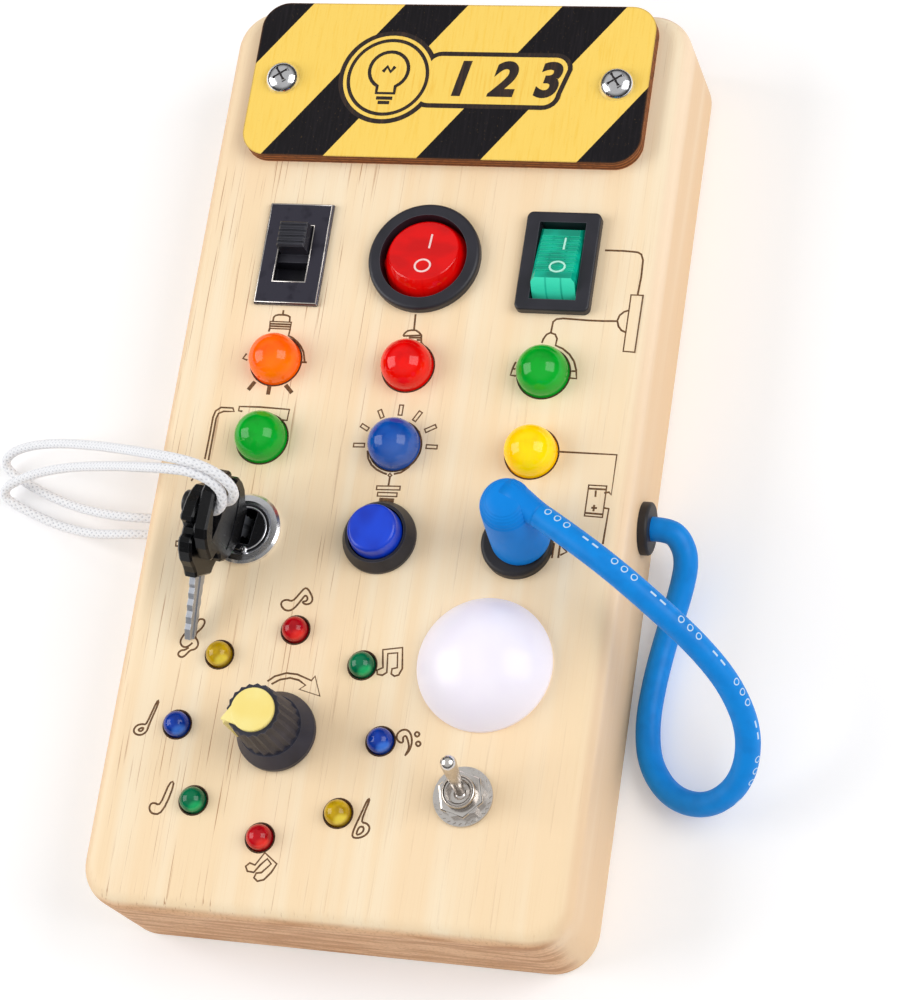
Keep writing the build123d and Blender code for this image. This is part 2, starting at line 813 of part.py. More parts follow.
with BuildPart() as round_rocker_button:
    with Locations((round_x, switch_row_y, pivot_z)):
        Sphere(round_rocker_radius)
    split(bisect_by=Plane.XY.offset(pivot_z + round_rocker_above_pivot), keep=Keep.BOTTOM)
    split(bisect_by=Plane.XY.offset(pivot_z - rocker_below_pivot), keep=Keep.TOP)
    fillet(round_rocker_button.edges().group_by(Axis.Z)[-1], radius=rocker_edge_rounding)
    pin_reach = round_opening_radius + rocker_pin_bite - sliding_clearance
    with BuildSketch(pivot_plane(round_x, switch_row_y, -pin_reach)):
        Circle(rocker_pin_radius)
    extrude(amount=2 * pin_reach)
round_pivot = Axis((round_x, switch_row_y, pivot_z), (1, 0, 0))
finish(round_rocker_button.part.rotate(round_pivot, -rocker_tilt), "round_rocker_button")

with BuildPart() as square_rocker_housing:
    with BuildSketch(on_face(square_x, switch_row_y)):
        RectangleRounded(square_flange_width, square_flange_length, square_flange_corner)
    extrude(amount=rocker_flange_thickness)
    fillet(square_rocker_housing.edges().group_by(Axis.Z)[-1], radius=square_flange_rounding)
    with BuildSketch(on_face(square_x, switch_row_y)):
        Rectangle(square_body_width, square_body_length)
    extrude(amount=-rocker_body_depth)
    with BuildSketch(on_face(square_x, switch_row_y, rocker_flange_thickness)):
        Rectangle(square_opening_width, square_opening_length)
    extrude(amount=-rocker_cavity_depth, mode=Mode.SUBTRACT)
    with BuildSketch(pivot_plane(square_x, switch_row_y, -square_opening_width / 2 - rocker_pin_bite)):
        Circle(rocker_pin_radius + running_clearance)
    extrude(amount=square_opening_width + 2 * rocker_pin_bite, mode=Mode.SUBTRACT)
    add_pins([(square_x, switch_row_y + side * rocker_pin_spacing) for side in (-1, 1)],
             face_z - rocker_body_depth)
finish(square_rocker_housing.part, "square_rocker_housing")

with BuildPart() as square_rocker_button:
    with BuildSketch(pivot_plane(square_x, switch_row_y, -square_rocker_half_width)):
        Circle(square_rocker_end_radius)
    extrude(amount=2 * square_rocker_half_width)
    split(bisect_by=Plane.XY.offset(pivot_z + square_rocker_above_pivot), keep=Keep.BOTTOM)
    split(bisect_by=Plane.XY.offset(pivot_z - rocker_below_pivot), keep=Keep.TOP)
    long_top_edges = square_rocker_button.edges().group_by(Axis.Z)[-1].filter_by(Axis.Y)
    chamfer(long_top_edges, length=square_rocker_side_bevel)
    with BuildSketch(Plane.XY.offset(pivot_z + square_rocker_above_pivot)):
        with Locations((square_x, switch_row_y)):
            with GridLocations(0, rib_pitch, 1, rib_count):
                Rectangle(2 * square_rocker_half_width, rib_groove_width)
    extrude(amount=-rib_groove_depth, mode=Mode.SUBTRACT)
    pin_reach = square_opening_width / 2 + rocker_pin_bite - sliding_clearance
    with BuildSketch(pivot_plane(square_x, switch_row_y, -pin_reach)):
        Circle(rocker_pin_radius)
    extrude(amount=2 * pin_reach)
square_pivot = Axis((square_x, switch_row_y, pivot_z), (1, 0, 0))
finish(square_rocker_button.part.rotate(square_pivot, -rocker_tilt), "square_rocker_button")

# ---------------------------------------------------------------- lamps


def add_lamp(x, y, radius, flange_radius, flange_thickness, dome_lift):
    """One lamp with its flange against the back of the face and its dome above the front."""
    dome_z = face_z + dome_lift
    flange_z = under_face_z - flange_thickness
    with BuildSketch(profile_plane(x, y)) as profile:
        with BuildLine():
            Polyline((0, dome_z + radius), (0, flange_z), (flange_radius, flange_z),
                     (flange_radius, under_face_z), (radius, under_face_z), (radius, dome_z))
            ThreePointArc((radius, dome_z), (radius * sin(pi / 4), dome_z + radius * sin(pi / 4)),
                          (0, dome_z + radius))
        make_face()
    revolve(profile.sketch, axis=upright_axis(x, y))
    with BuildSketch(Plane.XY.offset(flange_z)) as leads:
        with Locations((x - lead_spread, y), (x + lead_spread, y)):
            Rectangle(lead_size, lead_size)
    extrude(leads.sketch, amount=-lead_length)


row_lamps = {
    "lamp_orange": upper_lamp_places[0],
    "lamp_red": upper_lamp_places[1],
    "lamp_green_right": upper_lamp_places[2],
    "lamp_green_left": lower_lamp_places[0],
    "lamp_blue": lower_lamp_places[1],
    "lamp_yellow": lower_lamp_places[2],
}
for lamp_name, (x, y) in row_lamps.items():
    with BuildPart() as row_lamp:
        add_lamp(x, y, lamp_radius, lamp_flange_radius, lamp_flange_thickness, lamp_dome_lift)
    finish(row_lamp.part, lamp_name)

dial_lamp_colors = ["red", "green", "blue", "yellow"]
for color_index, color in enumerate(dial_lamp_colors):
    with BuildPart() as dial_lamps:
        for x, y in dial_lamp_places[color_index::len(dial_lamp_colors)]:
            add_lamp(x, y, small_lamp_radius, small_lamp_flange_radius,
                     small_lamp_flange_thickness, small_lamp_dome_lift)
    finish(dial_lamps.part, f"dial_lamps_{color}")

# ---------------------------------------------------------------- nuts behind the face

with BuildPart() as panel_nuts:
    with BuildSketch(Plane.XY.offset(under_face_z)):
        with Locations(*barrel_places):
            RegularPolygon(panel_nut_flats / 2, 6, major_radius=False)
            Circle(barrel_radius, mode=Mode.SUBTRACT)
    extrude(amount=-panel_nut_thickness)
finish(panel_nuts.part, "panel_nuts")

# ---------------------------------------------------------------- push button

bore_radius = button_cap_radius + sliding_clearance
bore_floor_z = face_z - button_bore_depth
cap_bottom_z = face_z - button_cap_below_face
cap_top_z = face_z + button_cap_height

with BuildPart() as push_button_body:
    with BuildSketch(profile_plane(button_x, play_row_y)):
        with BuildLine():
            Polyline((0, face_z - button_barrel_depth), (barrel_radius, face_z - button_barrel_depth),
                     (barrel_radius, face_z), (button_collar_radius, face_z),
                     (button_collar_radius, face_z + button_collar_edge),
                     (button_collar_mouth_radius, face_z + button_collar_height),
                     (bore_radius, face_z + button_collar_height), (bore_radius, bore_floor_z),
                     (0, bore_floor_z), close=True)
        make_face()
    revolve(axis=upright_axis(button_x, play_row_y))
    add_pins([(button_x + side * barrel_pin_spacing, play_row_y) for side in (-1, 1)],
             face_z - button_barrel_depth)
finish(push_button_body.part, "push_button_body")

with BuildPart() as push_button_cap:
    with BuildSketch(profile_plane(button_x, play_row_y)):
        with BuildLine():
            Polyline((0, cap_bottom_z), (button_cap_radius, cap_bottom_z),
                     (button_cap_radius, face_z + button_collar_height),
                     (button_cap_top_radius, cap_top_z), (0, cap_top_z), close=True)
        make_face()
    revolve(axis=upright_axis(button_x, play_row_y))
    fillet(push_button_cap.edges().group_by(Axis.Z)[-1], radius=button_cap_rounding)
finish(push_button_cap.part, "push_button_cap")

spring_height = cap_bottom_z - bore_floor_z - 2 * spring_wire_radius
with BuildPart() as push_button_spring:
    with BuildLine(Plane(origin=(button_x, play_row_y, bore_floor_z + spring_wire_radius))):
        coil = Helix(spring_height / spring_turns, spring_height, spring_coil_radius)
    with BuildSketch(Plane(origin=coil @ 0, z_dir=coil % 0)):
        Circle(spring_wire_radius)
    sweep(is_frenet=True)
finish(push_button_spring.part, "push_button_spring")

# ---------------------------------------------------------------- key lock

rotor_floor_z = face_z - rotor_depth
rotor_bore_radius = rotor_radius + running_clearance
rotor_top_z = face_z + lock_ring_height - rotor_recess

with BuildPart() as lock_housing:
    with BuildSketch(profile_plane(lock_x, play_row_y)):
        with BuildLine():
            ring_top_z = face_z + lock_ring_height
            Polyline((0, face_z - lock_barrel_depth), (barrel_radius, face_z - lock_barrel_depth),
                     (barrel_radius, face_z), (lock_ring_radius, face_z),
                     (lock_ring_radius, ring_top_z - lock_ring_rounding),
                     (lock_ring_radius - lock_ring_rounding, ring_top_z),
                     (rotor_bore_radius + lock_ring_rounding, ring_top_z),
                     (rotor_bore_radius, rotor_top_z), (rotor_bore_radius, rotor_floor_z),
                     (0, rotor_floor_z), close=True)
        make_face()
    revolve(axis=upright_axis(lock_x, play_row_y))
    add_pins([(lock_x + side * barrel_pin_spacing, play_row_y) for side in (-1, 1)],
             face_z - lock_barrel_depth)
finish(lock_housing.part, "lock_housing")

# The keyway runs along the blade; `across` is square to both keys' flat sides
along = Vector(sin(radians(key_yaw)), cos(radians(key_yaw)), 0)
across = Vector(cos(radians(key_yaw)), -sin(radians(key_yaw)), 0)
upward = Vector(0, 0, 1)
lock_centre = Vector(lock_x, play_row_y, 0)
key_z = face_z + lock_ring_height + key_seat_gap
keyway_depth = rotor_top_z - (key_z - key_blade_length) + keyway_clearance

with BuildPart() as lock_rotor:
    with BuildSketch(Plane(origin=(lock_x, play_row_y, rotor_floor_z))):
        Circle(rotor_radius)
    extrude(amount=rotor_top_z - rotor_floor_z)
    keyway_middle = lock_centre + along * keyway_shift + upward * rotor_top_z
    with BuildSketch(Plane(origin=keyway_middle, x_dir=along, z_dir=(0, 0, 1))):
        Rectangle(keyway_length, keyway_width)
    extrude(amount=-keyway_depth, mode=Mode.SUBTRACT)
finish(lock_rotor.part, "lock_rotor")

# ---------------------------------------------------------------- keys

# Half outlines of the bow and the blade: v is 0 where the blade leaves the bow's collar
bow_outline = [(3.4, 0), (4.0, 1.0), (5.1, 2.2), (6.7, 3.4), (7.85, 5.3), (8.3, 7.3), (7.9, 8.2),
               (7.1, 8.8), (6.8, 9.9), (7.6, 10.9), (8.6, 11.5), (8.7, 12.4), (7.1, 15.1),
               (5.4, 16.9), (3.6, 17.9)]
groove_outline = [(5.8, 6.6), (3.0, 5.6), (0, 5.4), (-3.0, 5.6), (-5.8, 6.6), (-5.8, 5.9),
                  (-3.0, 4.9), (0, 4.7), (3.0, 4.9), (5.8, 5.9)]
blade_outline = [(2.2, 0), (2.2, -1.6), (1.8, -2.3), (2.05, -3.4), (1.7, -4.5), (2.0, -5.7),
                 (1.55, -6.9), (1.85, -8.1), (1.5, -9.4), (1.7, -10.5), (1.0, -key_blade_length)]


def key_plane(origin, lift):
    """A key's own plane: x over its width, y from blade to bow, lifted from `along` by an angle."""
    over_width = along * sin(radians(lift)) - upward * cos(radians(lift))
    return Plane(origin=origin, x_dir=over_width, z_dir=across)


def make_key(plane, turned, bow_name, blade_name):
    """A moulded bow and the metal blade that its collar holds; turned is -1 for a key turned over."""
    back = plane.offset(-key_bow_thickness / 2)
    blade_back = plane.offset(-key_blade_thickness / 2)
    slot_low = key_slot_centre - key_slot_half_width
    slot_high = key_slot_centre + key_slot_half_width
    with BuildPart() as bow:
        with BuildSketch(back):
            with BuildLine():
                Polyline(*bow_outline, *[(-u, v) for u, v in reversed(bow_outline)], close=True)
            make_face()
        extrude(amount=key_bow_thickness)
        chamfer(bow.faces().filter_by(Plane(origin=plane.origin, z_dir=across)).edges(), length=key_bow_edge)
        with BuildSketch(back):
            with BuildLine():
                round_start = (turned * key_slot_round_end, slot_low)
                round_end = (turned * key_slot_round_end, slot_high)
                Polyline(round_start, (turned * key_slot_shoulder, slot_low),
                         (turned * key_slot_point, key_slot_centre),
                         (turned * key_slot_shoulder, slot_high), round_end)
                ThreePointArc(round_end, (turned * (key_slot_round_end + key_slot_half_width),
                                          key_slot_centre), round_start)
            make_face()
        extrude(amount=key_bow_thickness, mode=Mode.SUBTRACT)
        for face_offset in (-key_bow_thickness / 2, key_bow_thickness / 2 - key_groove_depth):
            with BuildSketch(plane.offset(face_offset)):
                with BuildLine():
                    Polyline(*groove_outline, close=True)
                make_face()
            extrude(amount=key_groove_depth, mode=Mode.SUBTRACT)
        with BuildSketch(blade_back):
            with Locations((0, key_tang_length / 2)):
                Rectangle(key_tang_width, key_tang_length)
        extrude(amount=key_blade_thickness, mode=Mode.SUBTRACT)
    finish(bow.part, bow_name)
    with BuildPart() as blade:
        with BuildSketch(blade_back):
            with BuildLine():
                Polyline(*blade_outline, *[(-u, v) for u, v in reversed(blade_outline)], close=True)
            make_face()
            with Locations((0, key_tang_length / 2)):
                Rectangle(key_tang_width, key_tang_length)
        extrude(amount=key_blade_thickness)
        with BuildSketch(plane.offset(key_blade_thickness / 2 - key_blade_groove_depth)):
            with Locations((0, -key_blade_length / 2)):
                Rectangle(key_blade_groove_width, key_blade_length)
        extrude(amount=key_blade_groove_depth, mode=Mode.SUBTRACT)
    finish(blade.part, blade_name)


key_origin = lock_centre + along * key_play_along + across * key_play_across + upward * key_z
spare_offset = key_bow_thickness + key_pair_gap
spare_origin = key_origin - across * spare_offset - along * spare_key_back + upward * spare_key_rise
key_frame = key_plane(key_origin, 90 + key_lean)
spare_frame = key_plane(spare_origin, spare_key_tilt)
make_key(key_frame, 1, "key_bow", "key_blade")
make_key(spare_frame, -1, "spare_key_bow", "spare_key_blade")

# Both slots overlap at the round end of the spare's: the cords run through there
swing_point = spare_frame.from_local_coords((-key_slot_round_end, key_slot_centre, 0))
cord_point = swing_point + across * spare_offset
print("swing point", swing_point, "axis", across)

# ---------------------------------------------------------------- cords of the keys

cord_side = key_frame.x_dir * (tether_spacing / 2)
bead_reach = spare_offset + key_bow_thickness / 2 + bead_gap
between_keys = across * ((key_bow_thickness + key_pair_gap) / 2)

spare_cord_points = [
    (-wall_x, tether_exit_y[0], tether_exit_z), (-54.5, tether_exit_y[0], tether_exit_z),
    (-61.0, -12.7, 9.6), (-66.8, -11.2, 6.6), (-72.6, -9.5, 3.9), (-78.2, -7.5, 2.1),
    (-83.5, -5.3, 1.3), (-87.6, -3.4, 1.1), (-90.0, -2.0, 1.3), (-91.5, -0.7, 1.7),
    (-91.2, 0.5, 3.2), (-88.8, 1.6, 5.0), (-84.6, 1.8, 7.9), (-79.4, 1.2, 11.6),
    (-72.8, -0.1, 16.4), (-65.9, -2.1, 21.8), (-58.8, -4.4, 27.8), (-51.5, -7.1, 34.4),
    (-45.0, -9.7, 40.6), (-39.4, -11.9, 45.8), (-34.9, -13.6, 49.6), (-31.1, -14.7, 51.1),
    (-28.3, -15.3, 50.7), (-25.5, -16.2, 49.6), (-23.4, -17.4, 47.9), (-22.8, -18.4, 45.6),
    (-23.7, -19.1, 43.4), (-25.8, -19.2, 41.6),
    tuple(cord_point + cord_side - between_keys), tuple(cord_point + cord_side - across * bead_reach),
]
key_cord_points = [
    (-wall_x, tether_exit_y[1], tether_exit_z), (-54.5, tether_exit_y[1], tether_exit_z),
    (-60.2, -16.6, 9.6), (-65.9, -15.9, 6.6), (-71.6, -14.6, 3.9), (-77.1, -13.0, 2.1),
    (-82.3, -11.1, 1.3), (-86.3, -9.5, 1.1), (-88.8, -8.4, 1.2), (-90.4, -7.4, 1.7),
    (-90.0, -6.1, 3.2), (-87.7, -5.3, 4.9), (-83.9, -4.7, 7.3), (-79.6, -4.6, 10.4),
    (-73.7, -5.1, 14.8), (-67.0, -6.2, 20.0), (-60.2, -7.9, 25.8), (-53.2, -9.8, 32.0),
    (-46.2, -12.0, 38.5), (-40.4, -13.8, 43.8), (-35.7, -15.2, 47.6), (-31.7, -16.1, 49.7),
    (-28.8, -16.7, 49.3), (-26.2, -17.7, 48.1), (-24.9, -19.0, 45.6), (-26.1, -21.3, 42.7),
    tuple(cord_point - cord_side - between_keys), tuple(cord_point - cord_side - across * bead_reach),
]
make_cord(spare_cord_points, tether_diameter, "spare_key_cord")
make_cord(key_cord_points, tether_diameter, "key_cord")

with BuildPart() as key_bead:
    with BuildSketch(Plane(origin=cord_point - across * bead_reach, z_dir=-across)):
        Circle(bead_radius)
    extrude(amount=bead_length)
    fillet(key_bead.edges(), radius=bead_rounding)
finish(key_bead.part, "key_bead")

wall_inside = Plane(origin=(case_wall - wall_x, 0, tether_exit_z), x_dir=(0, 1, 0), z_dir=(1, 0, 0))
with BuildPart() as cord_knot:
    with BuildSketch(wall_inside.offset(-case_wall)):
        with Locations(*[(y, 0) for y in tether_exit_y]):
            Circle(tether_diameter / 2)
    extrude(amount=case_wall)
    with BuildSketch(wall_inside):
        with Locations((sum(tether_exit_y) / 2, 0)):
            RectangleRounded(knot_size + abs(tether_exit_y[0] - tether_exit_y[1]), knot_size, knot_rounding)
    extrude(amount=knot_depth)
finish(cord_knot.part, "cord_knot")

# ---------------------------------------------------------------- plug and socket

socket_top_z = face_z + socket_disc_thickness

with BuildPart() as plug_socket:
    with BuildSketch(on_face(socket_x, socket_y)):
        Circle(socket_disc_radius)
    extrude(amount=socket_disc_thickness)
    fillet(plug_socket.edges().group_by(Axis.Z)[-1], radius=socket_disc_rounding)
    with BuildSketch(on_face(socket_x, socket_y)):
        Circle(barrel_radius)
    extrude(amount=-socket_barrel_depth)
    with BuildSketch(on_face(socket_x, socket_y, socket_disc_thickness)):
        Circle(socket_bore_radius)
    extrude(amount=-(socket_disc_thickness + plug_pin_length), mode=Mode.SUBTRACT)
    add_pins([(socket_x + side * barrel_pin_spacing, socket_y) for side in (-1, 1)],
             face_z - socket_barrel_depth)
finish(plug_socket.part, "plug_socket")

boot_bottom_z = socket_top_z + plug_seat_gap
boot_bottom = Vector(socket_x + plug_offset_x, socket_y + plug_offset_y, boot_bottom_z)
boot_top = boot_bottom + Vector(plug_lean_x, plug_lean_y, plug_height)
neck_direction = Vector(1, 0, 0).rotate(Axis.Z, plug_neck_angle)
neck_side = neck_direction.rotate(Axis.Z, 90)
neck_root = boot_top - Vector(0, 0, plug_neck_drop) + neck_side * plug_neck_offset
neck_end = neck_root + neck_direction * plug_neck_reach

with BuildPart() as plug_boot:
    with BuildSketch(Plane(origin=boot_bottom)):
        Circle(plug_base_radius)
    with BuildSketch(Plane(origin=boot_top)):
        Circle(plug_top_radius)
    loft(ruled=True)
    fillet(plug_boot.edges().group_by(Axis.Z)[-1], radius=plug_top_rounding)
    with BuildSketch(Plane(origin=neck_root, z_dir=neck_direction)):
        Circle(plug_neck_radius)
    extrude(amount=plug_neck_reach)
finish(plug_boot.part, "plug_boot")

with BuildPart() as plug_pin:
    with BuildSketch(profile_plane(socket_x, socket_y)):
        with BuildLine():
            tip_z = boot_bottom_z - plug_pin_length
            Polyline((0, boot_bottom_z), (0, tip_z), (plug_pin_radius - plug_pin_tip, tip_z),
                     (plug_pin_radius, tip_z + plug_pin_tip), (plug_pin_radius, boot_bottom_z), close=True)
        make_face()
    revolve(axis=upright_axis(socket_x, socket_y))
finish(plug_pin.part, "plug_pin")

# ---------------------------------------------------------------- cable

cable_exit_x = wall_x + grommet_flange_thickness
neck_lead = neck_end + neck_direction * plug_lead
cable_points = [
    (cable_exit_x, grommet_y, grommet_z), (53.2, grommet_y, grommet_z), (55.5, -10.5, 10.0),
    (56.9, -13.9, 8.2), (56.0, -19.0, 5.5), (53.8, -27.4, 3.0), (52.4, -36.8, 2.5),
    (52.0, -46.1, 2.5), (53.8, -54.2, 2.6), (59.4, -60.3, 3.6), (67.2, -61.7, 6.6),
    (73.4, -57.4, 11.0), (75.0, -50.0, 17.0), (72.0, -43.3, 23.8), (66.6, -38.0, 30.2),
    (58.8, -32.6, 36.4), (49.6, -26.4, 40.2), tuple(neck_lead), tuple(neck_end),
]
make_cord(cable_points, cable_diameter, "plug_cable")

with BuildPart() as cable_grommet:
    with BuildSketch(Plane(origin=(wall_x, grommet_y, grommet_z), x_dir=(0, 1, 0), z_dir=(1, 0, 0))):
        Circle(grommet_flange_radius)
    extrude(amount=grommet_flange_thickness)
    fillet(cable_grommet.edges().group_by(Axis.X)[-1], radius=grommet_rounding)
    with BuildSketch(Plane(origin=(wall_x, grommet_y, grommet_z), x_dir=(0, 1, 0), z_dir=(-1, 0, 0))):
        Circle(grommet_sleeve_radius)
    extrude(amount=case_wall)
    with BuildSketch(Plane(origin=(cable_exit_x, grommet_y, grommet_z), x_dir=(0, 1, 0), z_dir=(-1, 0, 0))):
        Circle(cable_diameter / 2)
    extrude(amount=case_wall + grommet_flange_thickness, mode=Mode.SUBTRACT)
finish(cable_grommet.part, "cable_grommet")

with BuildPart() as cable_tail:
    with BuildSketch(Plane(origin=(cable_exit_x, grommet_y, grommet_z), x_dir=(0, 1, 0), z_dir=(-1, 0, 0))):
        Circle(cable_diameter / 2)
    extrude(amount=case_wall + grommet_flange_thickness + cable_tail_length)
    with BuildSketch(Plane(origin=(wall_x - case_wall, grommet_y, grommet_z), x_dir=(0, 1, 0),
                           z_dir=(-1, 0, 0))):
        Circle(crimp_radius)
    extrude(amount=crimp_length)
finish(cable_tail.part, "cable_tail")

# ---------------------------------------------------------------- dial

pot_top_z = face_z + pot_bushing_rise
shaft_bottom_z = under_face_z - pot_body_depth + pot_floor
shaft_top_z = face_z + shaft_rise
knob_bottom_z = face_z + knob_float

with BuildPart() as potentiometer:
    with BuildSketch(Plane(origin=(dial_x, dial_y, under_face_z))):
        Circle(pot_body_radius)
    extrude(amount=-pot_body_depth)
    with BuildSketch(Plane(origin=(dial_x, dial_y, under_face_z))):
        Circle(pot_bushing_radius)
    extrude(amount=pot_top_z - under_face_z)
    with BuildSketch(Plane(origin=(dial_x, dial_y, pot_top_z))):
        Circle(shaft_radius + running_clearance)
    extrude(amount=-(pot_top_z - shaft_bottom_z), mode=Mode.SUBTRACT)
    terminal_y = dial_y - pot_body_radius + pot_terminal_bite
    with BuildSketch(Plane(origin=(dial_x, terminal_y, under_face_z - pin_thickness))):
        with GridLocations(pot_terminal_pitch, 0, pot_terminal_count, 1):
            Rectangle(pot_terminal_width, pot_terminal_length)
    extrude(amount=-pin_thickness)
finish(potentiometer.part, "potentiometer")

with BuildPart() as dial_nut:
    with BuildSketch(on_face(dial_x, dial_y)):
        RegularPolygon(pot_nut_flats / 2, 6, major_radius=False)
        Circle(pot_bushing_radius, mode=Mode.SUBTRACT)
    extrude(amount=pot_nut_thickness)
finish(dial_nut.part, "dial_nut")

with BuildPart() as dial_shaft:
    with BuildSketch(Plane(origin=(dial_x, dial_y, shaft_bottom_z))):
        Circle(shaft_radius)
    extrude(amount=shaft_top_z - shaft_bottom_z)
finish(dial_shaft.part, "dial_shaft")


def fluted_outline(radius):
    """Corners of a fluted round section, alternately out and in."""
    corners = []
    for step in range(2 * knob_flutes):
        reach = radius - (step % 2) * knob_flute_depth
        angle = radians(step * 180 / knob_flutes)
        corners.append((reach * cos(angle), reach * sin(angle)))
    return corners


pointer_direction = Vector(cos(radians(pointer_angle)), sin(radians(pointer_angle)), 0)
pointer_plane = Plane(origin=(dial_x, dial_y, 0), x_dir=pointer_direction,
                      z_dir=pointer_direction.rotate(Axis.Z, -90))
cap_bottom = face_z + knob_top_z - cap_depth
cap_top = face_z + knob_top_z + cap_rise
pointer_foot_z = face_z + knob_shoulder_z + pointer_foot

with BuildPart() as dial_cap:
    with BuildSketch(Plane(origin=(dial_x, dial_y, cap_bottom))):
        Circle(cap_radius)
    extrude(amount=cap_top - cap_bottom)
    fillet(dial_cap.edges().group_by(Axis.Z)[-1], radius=cap_rounding)
    # Pointer: a rib from under the rim down the knob's side, and a beak over the rim
    with BuildSketch(pointer_plane.offset(-pointer_width / 2)):
        with BuildLine():
            Polyline((pointer_root, cap_bottom),
                     (knob_grip_radius - pointer_side_bite, pointer_foot_z),
                     (knob_grip_radius + pointer_side_rise, pointer_foot_z),
                     (pointer_reach, cap_top - pointer_beak_drop),
                     (pointer_reach - pointer_beak_edge, cap_top - cap_rise),
                     (pointer_root, cap_top - pointer_beak_edge), close=True)
        make_face()
    extrude(amount=pointer_width)
finish(dial_cap.part, "dial_cap")

with BuildPart() as dial_knob:
    with BuildSketch(profile_plane(dial_x, dial_y)):
        with BuildLine():
            Polyline((0, knob_bottom_z), (knob_skirt_radius, knob_bottom_z),
                     (knob_skirt_radius, face_z + knob_skirt_height),
                     (knob_shoulder_radius, face_z + knob_shoulder_z),
                     (0, face_z + knob_shoulder_z), close=True)
        make_face()
    revolve(axis=upright_axis(dial_x, dial_y))
    for section_z, section_radius in ((knob_shoulder_z, knob_grip_radius), (knob_top_z, knob_top_radius)):
        with BuildSketch(on_face(dial_x, dial_y, section_z)):
            with BuildLine():
                Polyline(*fluted_outline(section_radius), close=True)
            make_face()
    loft(ruled=True)
    with BuildSketch(Plane(origin=(dial_x, dial_y, knob_bottom_z))):
        Circle(knob_cavity_radius)
    extrude(amount=knob_cavity_height, mode=Mode.SUBTRACT)
    with BuildSketch(Plane(origin=(dial_x, dial_y, knob_bottom_z))):
        Circle(shaft_radius)
    extrude(amount=shaft_top_z - knob_bottom_z, mode=Mode.SUBTRACT)
    add(dial_cap.part, mode=Mode.SUBTRACT)
finish(dial_knob.part, "dial_knob")

# ---------------------------------------------------------------- dome lamp

with BuildPart() as dome_lens:
    rim_z = face_z + dome_rim
    with BuildSketch(profile_plane(dome_x, dome_y)):
        with BuildLine():
            dome_crown = (0, rim_z + dome_rise)
            inner_crown = (0, rim_z + dome_rise - dome_wall)
            Polyline(inner_crown, dome_crown)
            TangentArc(dome_crown, (dome_radius, rim_z), tangent=(1, 0))
            Polyline((dome_radius, rim_z), (dome_radius, face_z), (dome_stem_radius, face_z),
                     (dome_stem_radius, face_z - dome_stem_depth),
                     (dome_stem_radius - dome_wall, face_z - dome_stem_depth),
                     (dome_stem_radius - dome_wall, rim_z))
            TangentArc(inner_crown, (dome_stem_radius - dome_wall, rim_z), tangent=(1, 0))
        make_face()
    revolve(axis=upright_axis(dome_x, dome_y))
finish(dome_lens.part, "dome_lens")

with BuildPart() as lamp_module:
    with BuildSketch(on_face(dome_x, dome_y, -dome_stem_depth)):
        Circle(dome_stem_radius)
    extrude(amount=-lamp_board_thickness)
    with BuildSketch(on_face(dome_x, dome_y, -dome_stem_depth)):
        Circle(dome_stem_radius - dome_wall - lamp_base_gap)
    extrude(amount=lamp_base_thickness)
    with BuildSketch(on_face(dome_x, dome_y, lamp_base_thickness - dome_stem_depth)):
        with GridLocations(emitter_pitch, emitter_pitch, 2, 2):
            Rectangle(emitter_size, emitter_size)
    extrude(amount=emitter_height)
finish(lamp_module.part, "lamp_module")

# ---------------------------------------------------------------- toggle switch

toggle_pivot_z = face_z + toggle_pivot_lift
toggle_top_z = face_z + toggle_bushing_rise
toggle_axis = Axis((toggle_x, toggle_y, toggle_pivot_z), (1, 0, 0))
toggle_pin_plane = Plane(origin=(toggle_x, toggle_y, toggle_pivot_z), x_dir=(0, 1, 0), z_dir=(1, 0, 0))
toggle_pin_reach = toggle_bore_radius + toggle_pin_bite
toggle_pin_hole_reach = toggle_pin_reach + running_clearance

with BuildPart() as toggle_body:
    with BuildSketch(Plane(origin=(toggle_x, toggle_y, under_face_z))):
        Rectangle(toggle_body_width, toggle_body_length)
    extrude(amount=-toggle_body_depth)
    with BuildSketch(Plane(origin=(toggle_x, toggle_y, under_face_z))):
        Circle(toggle_bushing_radius)
    extrude(amount=toggle_top_z - under_face_z)
    with BuildSketch(Plane(origin=(toggle_x, toggle_y, toggle_top_z))):
        Circle(toggle_bore_radius)
    extrude(amount=-(toggle_top_z - toggle_pivot_z + toggle_tail_length + sliding_clearance),
            mode=Mode.SUBTRACT)
    chamfer(toggle_body.edges().group_by(Axis.Z)[-1], length=toggle_bushing_edge)
    with BuildSketch(toggle_pin_plane.offset(-toggle_pin_hole_reach)):
        Circle(toggle_pin_radius + running_clearance)
    extrude(amount=2 * toggle_pin_hole_reach, mode=Mode.SUBTRACT)
    add_pins([(toggle_x, toggle_y + step * toggle_terminal_spacing) for step in (-1, 0, 1)],
             under_face_z - toggle_body_depth)
finish(toggle_body.part, "toggle_body")

with BuildPart() as toggle_hardware:
    with BuildSketch(on_face(toggle_x, toggle_y)):
        Circle(toggle_washer_radius)
        Circle(toggle_bushing_radius, mode=Mode.SUBTRACT)
    extrude(amount=toggle_washer_thickness)
    with BuildSketch(on_face(toggle_x, toggle_y, toggle_washer_thickness)):
        RegularPolygon(toggle_nut_flats / 2, 6, major_radius=False, rotation=toggle_nut_turn)
        Circle(toggle_bushing_radius, mode=Mode.SUBTRACT)
    extrude(amount=toggle_nut_thickness)
finish(toggle_hardware.part, "toggle_nut_and_washer")

